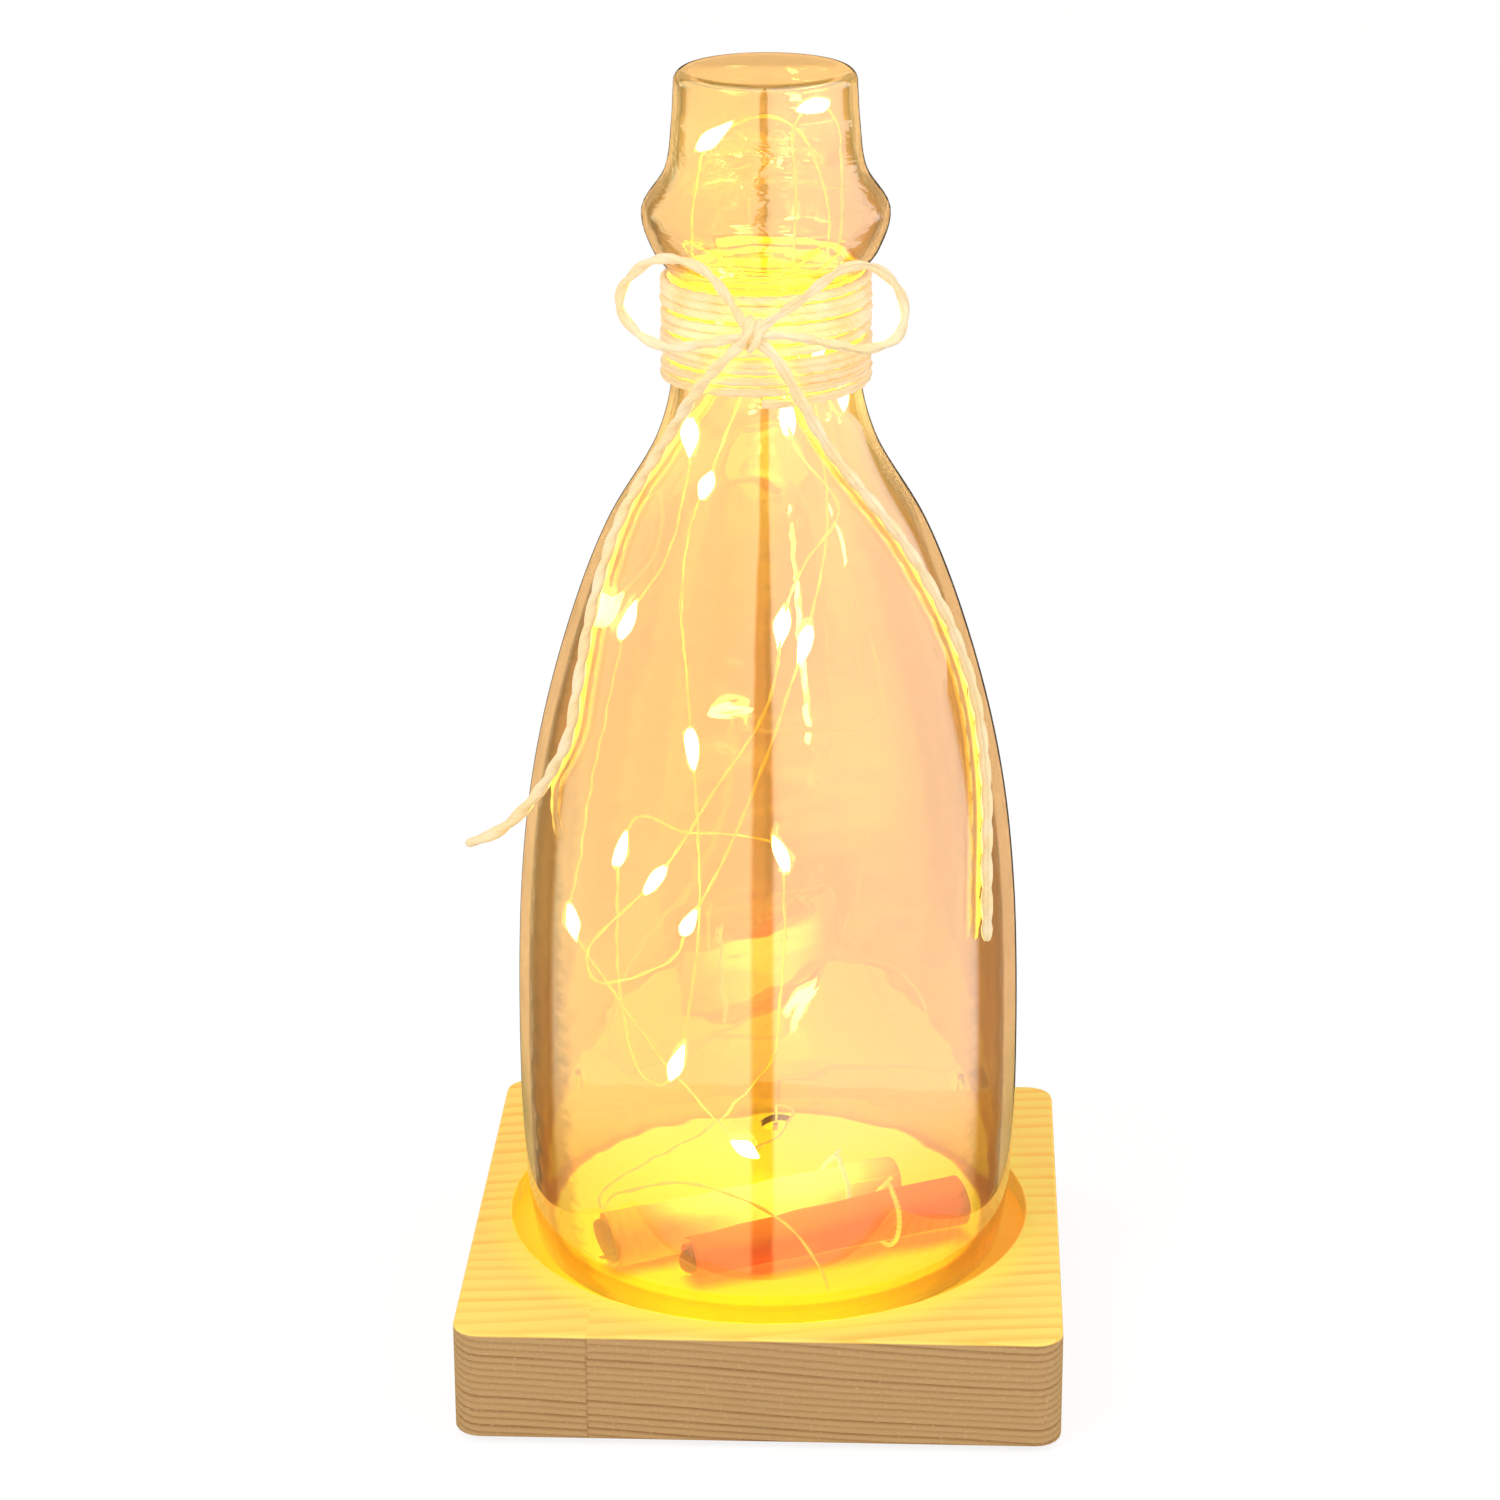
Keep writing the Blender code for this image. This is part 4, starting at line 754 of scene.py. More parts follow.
@dataclass(frozen=True)
class Copper(Finish):
    """Enamelled copper wire, with the slight unevenness of drawn wire."""

    name: str = "enamelled_copper"
    slot: str = "copper_wire"
    colour: Triple = (0.93, 0.62, 0.22)
    roughness: float = 0.28
    metallic: float = 1.0
    dark: Triple = (0.85, 0.48, 0.12)
    bright: Triple = (1.0, 0.84, 0.40)
    glow_colour: Triple = (1.0, 0.78, 0.14)
    glow: float = 0.75

    def material(self) -> bpy.types.Material:
        """The enamel's tone changes slowly along the wire."""
        made, wire, shader = self.shader()
        along, _, _ = wire.parts(wire.own_uv())
        tone = wire.noise(wire.vector(wire.times(along, 0.4), 0.0, 0.0), 1.0, 3.0)
        # Painted light: the yellow glow stands in for the light of the drops on the wire.
        wire.fill(shader, {
            "Base Color": wire.blend(tone, self.dark, self.bright),
            "Emission Color": self.glow_colour, "Emission Strength": self.glow,
        })
        return made


@dataclass(frozen=True)
class LitResin(Finish):
    """A lit drop of resin: white-hot at its middle and golden towards its ends."""

    name: str = "lit_resin"
    slot: str = "copper_wire"
    colour: Triple = (1.0, 0.88, 0.45)
    roughness: float = 0.12
    strength: float = 90.0
    end_strength: float = 1.1
    end_colour: Triple = (1.0, 0.66, 0.08)
    hot_colour: Triple = (1.0, 0.86, 0.42)

    def material(self) -> bpy.types.Material:
        """The UV map's first value is 0 at the drop's ends and 1 at its middle."""
        made, wire, shader = self.shader()
        middle, _, _ = wire.parts(wire.own_uv())
        heat = wire.math("POWER", middle, 1.6)
        wire.fill(shader, {
            "Emission Color": wire.blend(heat, self.end_colour, self.hot_colour),
            "Emission Strength": wire.span(heat, 0.25, 0.95, self.end_strength, self.strength),
            "Coat Weight": 0.6,
        })
        return made


@dataclass(frozen=True)
class Paper(Finish):
    """Thin rolled paper: fine fibres, with painted light that is brightest where it faces up to the lights.
    """

    name: str = "cream_paper"
    slot: str = "cream_paper"
    colour: Triple = (1.0, 0.62, 0.20)
    shade: Triple = (0.95, 0.42, 0.13)
    lit: Triple = (1.0, 0.92, 0.12)
    inner_shade: Triple = (0.62, 0.25, 0.06)
    roughness: float = 0.7
    glow: float = 0.28
    lit_glow: float = 0.55
    glare: float = 3.0
    light: Triple = (-0.001, -0.010, 0.034)
    reach: Pair = (0.030, 0.008)
    inside: float = 0.35

    def material(self) -> bpy.types.Material:
        """The UV map runs in millimetres along the roll and ten to a turn. After one turn comes the painted
        shade.
        """
        made, wire, shader = self.shader()
        flat = wire.mapped(wire.own_uv(), (1.0, 3.0, 1.0))
        cloud = wire.noise(flat, 0.12, 3.0)
        fibre = wire.noise(wire.mapped(flat, (2.0, 6.0, 1.0)), 1.0, 4.0, 0.7)
        _, wound, _ = wire.parts(wire.own_uv())
        within = wire.span(wound, 9.0, 13.0)
        lighter = tuple(min(1.0, c * 1.25) for c in self.colour)
        body = wire.layers(
            self.shade, (wire.span(cloud, 0.3, 0.7), self.colour), (within, self.inner_shade),
            (wire.span(fibre, 0.4, 0.8, 0.0, 0.25), lighter),
        )
        # Painted light: a glow brightest where the paper faces up and close to the light's place, with a
        # painted glare there, and weaker on the inner layers.
        _, _, rise = wire.parts(wire.add("ShaderNodeNewGeometry", {}, "Normal"))
        near = wire.span(wire.moved("DISTANCE", wire.place(), self.light), *self.reach)
        upward = wire.plus(wire.span(rise, 0.25, 0.95, 0.0, 0.7), wire.times(near, 0.7), clamp=True)
        glow = wire.span(rise, -0.6, 0.95, self.glow, self.lit_glow)
        glow = wire.plus(glow, wire.times(near, near, upward, self.glare))
        wire.fill(shader, {
            "Base Color": body, "Normal": wire.bump(fibre, 0.15, 0.0001),
            "Emission Color": wire.blend(upward, body, self.lit),
            "Emission Strength": wire.times(glow, wire.span(within, 0.0, 1.0, 1.0, self.inside)),
        })
        return made


@dataclass(frozen=True)
class Moulded(Finish):
    """Moulded plastic or foam with a fine spark-eroded grain."""

    grain: float = 2500.0
    relief: float = 0.25

    def material(self) -> bpy.types.Material:
        """Roughness and bump follow fine noise."""
        made, wire, shader = self.shader()
        grain = wire.noise(wire.place(), self.grain, 3.0, 0.6)
        patch = wire.noise(wire.place(), 60.0, 2.0)
        light = tuple(min(1.0, c * 1.35 + 0.01) for c in self.colour)
        wire.fill(shader, {
            "Base Color": wire.blend(wire.span(patch, 0.3, 0.7, 0.0, 0.4), self.colour, light),
            "Roughness": wire.span(grain, 0.2, 0.8, self.roughness - 0.08, self.roughness + 0.12),
            "Normal": wire.bump(grain, self.relief, 0.0001),
        })
        return made


@dataclass(frozen=True)
class Plated(Finish):
    """Plated metal with faint handling marks, which may also have a painted shine for the lights that lie
    beside it.
    """

    metallic: float = 1.0
    shine: float = 0.0

    def material(self) -> bpy.types.Material:
        """Roughness follows stretched noise, as fine scuffs do."""
        made, wire, shader = self.shader()
        scuff = wire.noise(wire.mapped(wire.place(), (2500, 300, 300)), 1.0, 3.0, 0.7)
        cloud = wire.noise(wire.place(), 120.0, 2.0)
        darker = tuple(c * 0.82 for c in self.colour)
        wire.fill(shader, {
            "Base Color": wire.blend(wire.span(cloud, 0.3, 0.7), darker, self.colour),
            "Roughness": wire.span(scuff, 0.3, 0.8, self.roughness, self.roughness + 0.18),
            "Normal": wire.bump(scuff, 0.08, 0.00005),
            "Emission Color": self.colour, "Emission Strength": self.shine,
        })
        return made


PINE = Pine()
GLASS = AmberGlass()
TWINE = Twine()
WRAP_TWINE = Twine(
    name="lit_twine", colour=(1.0, 0.75, 0.47), shade=(1.0, 0.62, 0.26), glow=0.16, inner_glow=3.2,
    glow_colour=(1.0, 0.72, 0.30), lit_inner_colour=(1.0, 0.95, 0.02),
)
COPPER = Copper()
RESIN = LitResin()
CREAM_PAPER = Paper()
RED_PAPER = Paper(
    name="red_paper", slot="red_paper", colour=(1.0, 0.16, 0.07), shade=(0.92, 0.10, 0.05),
    lit=(1.0, 0.55, 0.05), inner_shade=(0.52, 0.03, 0.02), glow=0.24, lit_glow=0.45, glare=0.35,
)
SILVER_THREAD = Plated("silver_thread", "silver_thread", (1.0, 0.88, 0.60), 0.26, shine=0.95)
GOLD_THREAD = Plated("gold_thread", "gold_thread", (1.0, 0.80, 0.20), 0.26, shine=1.0)
BLACK_PLASTIC = Moulded("black_moulding", "black_plastic", (0.025, 0.025, 0.027), 0.42)
WHITE_PLASTIC = Moulded("white_moulding", "white_plastic", (0.78, 0.78, 0.75), 0.40)
FOAM = Moulded("black_foam", "black_foam", (0.02, 0.02, 0.02), 0.85, grain=3500.0, relief=0.8)
STEEL = Plated("bright_steel", "bright_steel", (0.74, 0.74, 0.75), 0.22)
NICKEL = Plated("nickel_strip", "nickel_strip", (0.72, 0.69, 0.62), 0.26)
PALE_FLOOR = Finish("pale_floor", "stage", (0.92, 0.91, 0.90), 0.9)
INSULATION = Moulded(
    "clear_insulation", "clear_insulation", (0.62, 0.36, 0.16), 0.35, grain=900.0, relief=0.05,
)


class Body(Enum):
    """The lamp's moving bodies."""

    BASE = "base"
    GLASS = "glass"
    SWITCH = "switch"
    DOOR = "battery_door"


class Workshop:
    """Dresses pieces: gives each its finish and its body, and keeps one material for each finish."""

    def __init__(self) -> None:
        """Starts with no materials made."""
        self.made: dict[str, bpy.types.Material] = {}

    def finish(self, finish: Finish) -> bpy.types.Material:
        """The material of a finish, made once."""
        if finish.name not in self.made:
            self.made[finish.name] = finish.material()
        return self.made[finish.name]

    def dress(self, piece: Piece, finish: Finish, body: Body, *nodes: str) -> Piece:
        """Finishes a piece and lets it ride on its body.

        Args:
            piece: the piece.
            finish: its finish.
            body: the body that carries it.
            nodes: the CAD nodes that it stands for.

        Returns:
            The piece.
        """
        piece.data.materials.clear()
        piece.data.materials.append(self.finish(finish))
        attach(piece, body.value)
        if nodes:
            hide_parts(*nodes)
        LOG.info("%s rides on %s", piece.name, body.value)
        return piece


# Camera, floor and light

@dataclass
class Studio:
    """Camera at the photograph's angle, a white floor that keeps a shadow, and soft light."""

    place: Triple = (0.0284, -0.6687, 0.3503)
    down: float = 20.20
    left: float = 2.68
    roll: float = -0.25
    lens: float = 102.6
    sensor: float = 36.0
    clip: Pair = (0.01, 60.0)
    floor_size: float = 8.0
    world_light: float = 0.62
    floor_white: float = 1.10
    floor_share: float = 0.78
    mirror_share: float = 0.95
    slit: float = 4.0
    slit_ramp: float = 2.0
    floor_gap: float = 112.0
    world_gap: float = 130.0
    gap_ramp: float = 5.0
    gap_end: float = 140.0
    gap_light: float = 0.15
    floor_rim: float = 0.85
    rim_ramp: float = 3.0
    world_rim: float = 0.50
    outline_start: float = 166.0
    mirror_end: float = 167.0
    crown_rise: float = 0.12
    bottle_radius: float = 0.041
    wall_lean: float = 1.08
    near_floor: Pair = (0.075, 0.175)
    near_light: float = 0.55
    near_veil: Triple = (1.0, 0.76, 0.20)
    gap_colour: Triple = (1.0, 0.60, 0.27)
    veil_left: Triple = (1.0, 0.90, 0.58)
    veil_right: Triple = (1.0, 0.97, 0.98)
    lamps: tuple[tuple[str, Triple, float], ...] = (
        ("key_softbox", (-0.75, -0.85, 1.15), 7.5), ("fill_softbox", (0.95, -0.55, 0.75), 4.0),
    )
    lamp_size: float = 0.7
    aim: Triple = (0.0, 0.0, 0.09)

    def camera(self) -> None:
        """The camera's axes come from its tilt, turn and roll."""
        data = bpy.data.cameras.new("photo_camera")
        data.lens = self.lens
        data.sensor_width = self.sensor
        data.clip_start, data.clip_end = self.clip
        camera = bpy.data.objects.new("photo_camera", data)
        bpy.context.scene.collection.objects.link(camera)
        pitch, yaw, roll = (math.radians(v) for v in (self.down, self.left, self.roll))
        ahead = Vector((-math.sin(yaw) * math.cos(pitch), math.cos(yaw) * math.cos(pitch), -math.sin(pitch)))
        level = Vector((math.cos(yaw), math.sin(yaw), 0.0))
        above = level.cross(ahead)
        right = level * math.cos(roll) + above * math.sin(roll)
        up = above * math.cos(roll) - level * math.sin(roll)
        turn = Matrix((right, up, -ahead)).transposed().to_4x4()
        camera.matrix_world = Matrix.Translation(self.place) @ turn
        bpy.context.scene.camera = camera

    def tent(self, wire: Wiring, x: object, bearing: object, gap: float, rim: float) -> tuple[Socket, Socket]:
        """The light tent by bearing from the front: two veils, warm on the left and paler on the right.

        Between them are a dark slit in front and a brown gap on each side, and tan light behind.

        Args:
            wire: the tree's wiring.
            x: how far to the right the ray goes, as a share of its length.
            bearing: the ray's bearing from the front, in radians.
            gap: the bearing at which the brown gap starts, in degrees.
            rim: brightness of the tan light behind the gap.

        Returns:
            Its brightness, from 0 to 1, and its colour.
        """
        ramp = wire.node("ShaderNodeValToRGB")
        stops = (
            (0.0, 0.0), (self.slit, 0.0), (self.slit + self.slit_ramp, 1.0), (gap, 1.0),
            (gap + self.gap_ramp, self.gap_light), (self.gap_end, self.gap_light),
            (self.gap_end + self.rim_ramp, rim),
        )
        for k, (degrees, value) in enumerate(stops):
            stop = ramp.color_ramp.elements[k] if k < 2 else ramp.color_ramp.elements.new(degrees / 180)
            stop.position = degrees / 180
            stop.color = (value, value, value, 1.0)
        wire.feed(ramp.inputs[0], wire.math("DIVIDE", bearing, math.pi))
        veil = wire.blend(wire.span(x, -0.5, 0.6), self.veil_left, self.veil_right)
        start = math.radians(gap)
        veil = wire.blend(wire.span(bearing, start, start + 0.09), veil, self.gap_colour)
        return ramp.outputs[0], veil

    def bearing(self, wire: Wiring, where: object) -> tuple[Socket, Socket]:
        """How far to the right a place lies, as a share of its distance, and its bearing from the front."""
        x, y, _ = wire.parts(wire.add("ShaderNodeVectorMath", {0: where}, operation="NORMALIZE"))
        return x, wire.math("ABSOLUTE", wire.math("ARCTAN2", x, wire.times(y, -1.0)))

    def past(self, wire: Wiring, bearing: object, degrees: float) -> Socket:
        """Whether a bearing is past a number of degrees."""
        return wire.math("GREATER_THAN", bearing, math.radians(degrees))

    def seen(self, wire: Wiring) -> tuple[Socket, Socket, Socket]:
        """Whether a ray comes from the camera, off a mirror, and either off a mirror or through glass."""
        path = wire.node("ShaderNodeLightPath")
        through = path.outputs["Is Transmission Ray"]
        shiny = wire.math("MAXIMUM", path.outputs["Is Glossy Ray"], through)
        return path.outputs["Is Camera Ray"], wire.minus(shiny, through), shiny

    def level(self, wire: Wiring, shiny: object, plain: float, tent: object) -> Socket:
        """Plain light on rough surfaces, and the tent in mirrors and glass."""
        return wire.add("ShaderNodeMix", {0: shiny, 2: plain, 3: tent}, data_type="FLOAT")

    def world(self) -> None:
        """White for the camera, the light tent in glass and metal, and plain soft light for the rest."""
        world = bpy.data.worlds.new("light_tent")
        bpy.context.scene.world = world
        world.use_nodes = True
        wire = Wiring(world.node_tree)
        camera, mirrored, shiny = self.seen(wire)
        where = wire.add("ShaderNodeTexCoord", {}, "Generated")
        x, bearing = self.bearing(wire, where)
        _, _, rise = wire.parts(where)
        tent, veil = self.tent(wire, x, bearing, self.world_gap, self.world_rim)
        tent = wire.math("MAXIMUM", tent, self.past(wire, bearing, self.outline_start))
        under_crown = wire.math("LESS_THAN", rise, self.crown_rise)
        outline = wire.times(mirrored, self.past(wire, bearing, self.mirror_end), under_crown)
        tent = wire.minus(tent, outline, clamp=True)
        wire.fill(world.node_tree.nodes["Background"], {
            "Strength": wire.math("MAXIMUM", self.level(wire, shiny, self.world_light, tent), camera),
            "Color": wire.blend(mirrored, (1.0, 1.0, 1.0), veil),
        })

    def floor_tent(self, wire: Wiring, place: object, mirrored: object) -> tuple[Socket, Socket]:
        """The tent as the bottle's wall shows it on the floor: dimmer and more yellow close to the lamp.

        The wall stands a radius off the axis. A ray that it sends down so points further back than the place
        on the floor lies: by about the radius over the distance, times the sine of half the bearing.

        Args:
            wire: the tree's wiring.
            place: object coordinates.
            mirrored: 1 for a ray that was mirrored last.

        Returns:
            Its brightness, from 0 to 1, and its colour.
        """
        x, bearing = self.bearing(wire, place)
        away = wire.moved("DISTANCE", place, (0.0, 0.0, 0.0))
        half = wire.math("SINE", wire.times(bearing, 0.5))
        lean = wire.times(wire.math("DIVIDE", self.bottle_radius * self.wall_lean, away), half)
        bearing = wire.math("MINIMUM", wire.plus(bearing, lean), math.pi)
        tent, veil = self.tent(wire, x, bearing, self.floor_gap, self.floor_rim)
        behind = self.past(wire, bearing, self.outline_start)
        tent = wire.math("MAXIMUM", tent, wire.times(behind, wire.minus(1.0, mirrored)))
        far = wire.span(away, *self.near_floor)
        dim = wire.times(mirrored, wire.span(far, 0.0, 1.0, 1.0 - self.near_light, 0.0))
        tent = wire.times(tent, wire.minus(1.0, dim))
        outline = wire.times(mirrored, self.past(wire, bearing, self.mirror_end))
        return wire.minus(tent, outline, clamp=True), wire.blend(far, self.near_veil, veil)

    def floor(self) -> None:
        """A pale floor that shows white, keeps the lamp's soft shadow, and isn't there from below."""
        half = self.floor_size / 2
        corners = np.array([[-half, -half, 0], [half, -half, 0], [half, half, 0], [-half, half, 0]], float)
        floor = put_mesh("studio_floor", corners, np.array([[0, 1, 2, 3]]), smooth=False)
        made, wire, shader = PALE_FLOOR.shader()
        camera, mirrored, shiny = self.seen(wire)
        tent, veil = self.floor_tent(wire, wire.place(), mirrored)
        white = wire.add("ShaderNodeEmission", {
            "Strength": self.level(wire, shiny, self.floor_white, tent),
            "Color": wire.blend(mirrored, (1.0, 1.0, 1.0), veil),
        })
        mirror = wire.times(shiny, self.mirror_share)
        share = wire.math("MAXIMUM", wire.times(camera, self.floor_share), mirror)
        seen = wire.add("ShaderNodeMixShader", {0: share, 1: shader.outputs[0], 2: white})
        below = wire.add("ShaderNodeNewGeometry", {}, "Backfacing")
        nothing = wire.add("ShaderNodeBsdfTransparent", {})
        wire.give("Surface", wire.add("ShaderNodeMixShader", {0: below, 1: seen, 2: nothing}))
        floor.data.materials.append(made)

    def lamp(self, name: str, place: Triple, power: float) -> None:
        """A square soft lamp that points at the middle of the lamp's height."""
        data = bpy.data.lights.new(name, "AREA")
        data.shape = "SQUARE"
        data.size = self.lamp_size
        data.energy = power
        light = bpy.data.objects.new(name, data)
        bpy.context.scene.collection.objects.link(light)
        light.visible_glossy = False
        light.visible_transmission = False
        light.location = place
        light.rotation_mode = "QUATERNION"
        light.rotation_quaternion = (Vector(place) - Vector(self.aim)).to_track_quat("Z", "Y")

    def build(self) -> None:
        """Sets the whole stage."""
        self.camera()
        self.world()
        self.floor()
        for name, place, power in self.lamps:
            self.lamp(name, place, power)
        bpy.context.scene.view_settings.view_transform = "Standard"


# The light string

@dataclass
class LightString:
    """Fine twin wire that rises from the hole into the neck and comes down again, with its lit drops."""

    pitch: float = 0.0525
    lead: float = 0.034
    count: int = 18
    wire_radius: float = 0.0003
    drop_radius: float = 0.00120
    drop_length: float = 0.0084
    drop_flat: float = 0.86
    drop_lean: float = 0.45
    drop_knobs: float = 0.20
    drop_rings: int = 21
    drop_sides: int = 16
    lay: float = 0.011
    step: float = 0.0011
    route: tuple[Triple, ...] = (
        (0, 33.5, 0.3), (0, 33.5, 3.5), (3, 30.5, 4), (2.2, 22.1, 4.4), (0.5, 15.4, 5), (-2.3, 9.4, 6.4),
        (-4.4, 6.3, 7.6), (-10.8, 5.4, 15.4), (-18.5, 4.5, 25.1), (-25.3, 4, 35.3), (-33.7, 3.9, 50.8),
        (-32.6, 6.4, 62), (-30.1, 10.4, 77), (-27.3, 14.3, 90.4), (-24.2, 17.8, 102.4),
        (-18.8, 21.1, 109.3), (-14.6, 13.3, 125.1), (-12.1, -3.7, 138), (-11.9, -1.9, 149.7),
        (-11.8, -0.3, 160.6), (-12.3, 2.7, 170.2), (-11.1, 1.1, 179.5), (-8.2, -3.5, 187.9),
        (0.2, -0.1, 190.7), (5.7, 2.3, 187.2), (9.3, 4.1, 178.4), (10.1, 4.6, 168.1), (9.3, 4.7, 156.6),
        (7.8, 5.3, 145.6), (9, 7.5, 133.3), (9.8, 6.3, 120), (6.2, -3.5, 103.1), (3.5, -11, 96.5),
        (0.5, -17.4, 88.7), (-6.1, -22, 72.9), (-12.1, -19.5, 60.5), (-16, -11.2, 50.4),
        (-27.1, -14.3, 47.5), (-28.9, -17.1, 54.1), (-17, -18.4, 68.4), (-7.5, -24.4, 85.6),
        (0.8, -14.7, 97.1), (3.1, -4.8, 109.3), (6.9, -16.9, 122), (11.9, -14.6, 129.8), (5.7, -12, 138.4),
        (3.5, -2.9, 142.2), (4, -2.8, 156.6), (4.6, -3.5, 169.3), (4.9, -3.7, 179.7), (4.8, -2.8, 190.2),
        (8.7, 1.1, 192.3), (11.6, 3.1, 188.5), (12.1, 1.2, 179.3), (11.9, -0.6, 169.3),
        (11.4, -3.8, 154.5), (12.2, 3.9, 140.6), (7.8, 9.9, 145.5), (3.6, 7.5, 151.2), (-1, 4.1, 150.4),
        (-4.9, 0.2, 142.8), (-8.6, -3.3, 132.9), (-12.5, 2.5, 122.6), (-13.7, -5.6, 111.1),
        (-13.3, 0.7, 94.4), (-11.4, -6.1, 73.3), (-10.8, -10.1, 62.7), (-11.3, -13.7, 51.6),
        (-13.1, -16.9, 40), (-14.5, -18.4, 34.6), (-17, -16.2, 30.1), (-21.3, -12.1, 31),
        (-24.3, -9.3, 42.3), (-24.6, -9.9, 56.8), (-23.9, -10.1, 69.1), (-21.8, -1.7, 72.1),
        (-14.3, 17.8, 62), (-4.1, 21.4, 59.6), (1.2, 15.8, 59.7), (2.4, 11.7, 50.9), (1.5, 17.9, 33.4),
        (-1.2, 26, 14.4), (-11.1, 24, 4), (-28, -8, 6), (-27.2, -16.6, 6.8), (-24.8, -19.8, 11.2),
        (-20.5, -21.6, 13.4), (-14.5, -20, 13.8), (-5, -21.5, 12), (4, -25.5, 9), (10, -30.5, 3),
        (11, -32.5, 0.6),
    )

    def path(self) -> Array:
        """The wire's line in metres, in even steps."""
        route = np.array(self.route, float) * MM + [0, 0, BASE_TOP]
        return even_path(smooth_path(route, 14), self.step)

    def centres(self) -> Array:
        """The middle of each light, one row each."""
        return points_at(self.path(), self.lead + self.pitch * np.arange(self.count))

    def twin_wire(self, path: Array) -> Piece:
        """Two wires side by side that turn slowly about each other."""
        return tube("fairy_wire", path, plied(self.wire_radius, 2, self.lay, 0.55), 8)

    def drops(self, path: Array) -> Piece:
        """Each drop is pointed, fuller at one end, and knobbly where its resin set unevenly."""
        marks = marks_of(path)
        centres = self.lead + self.pitch * np.arange(self.count)
        first, second = frames_along(path)
        rings, sides = self.drop_rings, self.drop_sides
        bend = np.linspace(-math.pi / 2, math.pi / 2, rings)
        angle = np.arange(sides) * TAU / sides
        points, faces, uvs = [], [], []
        for k, centre in enumerate(centres):
            here = int(np.searchsorted(marks, centre))
            middle = points_at(path, np.array([centre]))[0]
            along = unit(path[min(here + 1, len(path) - 1)] - path[here - 1])
            a, b = first[here], np.cross(along, first[here])
            swell = self.drop_radius * (0.9 + 0.2 * math.sin(2.3 * k + 0.7) ** 2)
            full = 1 + (self.drop_lean if k % 2 else -self.drop_lean) * np.sin(bend)[:, None]
            knobs = 1 + self.drop_knobs * np.sin(2 * angle + 1.3 * k) * np.cos(3.1 * bend[:, None] + k)
            reach = swell * np.cos(bend)[:, None] ** 2.0 * full * knobs
            ring = a * np.cos(angle)[:, None] + self.drop_flat * b * np.sin(angle)[:, None]
            spine = middle + along * (self.drop_length / 2 * np.sin(bend))[:, None, None]
            body = spine + ring * reach[..., None]
            faces.append(grid_faces(rings, sides, len(points) * rings * sides))
            points.append(body.reshape(-1, 3))
            uvs.append(np.stack([np.repeat(np.cos(bend), sides), np.tile(angle / TAU, rings)], axis=1))
        return put_mesh("resin_drops", np.vstack(points), np.vstack(faces), np.vstack(uvs))

    def build(self, shop: Workshop) -> None:
        path = self.path()
        wires = shop.dress(self.twin_wire(path), COPPER, Body.BASE, "led_string")
        drops = shop.dress(self.drops(path), RESIN, Body.BASE, "led_string")


# Twine round the neck, with its bow

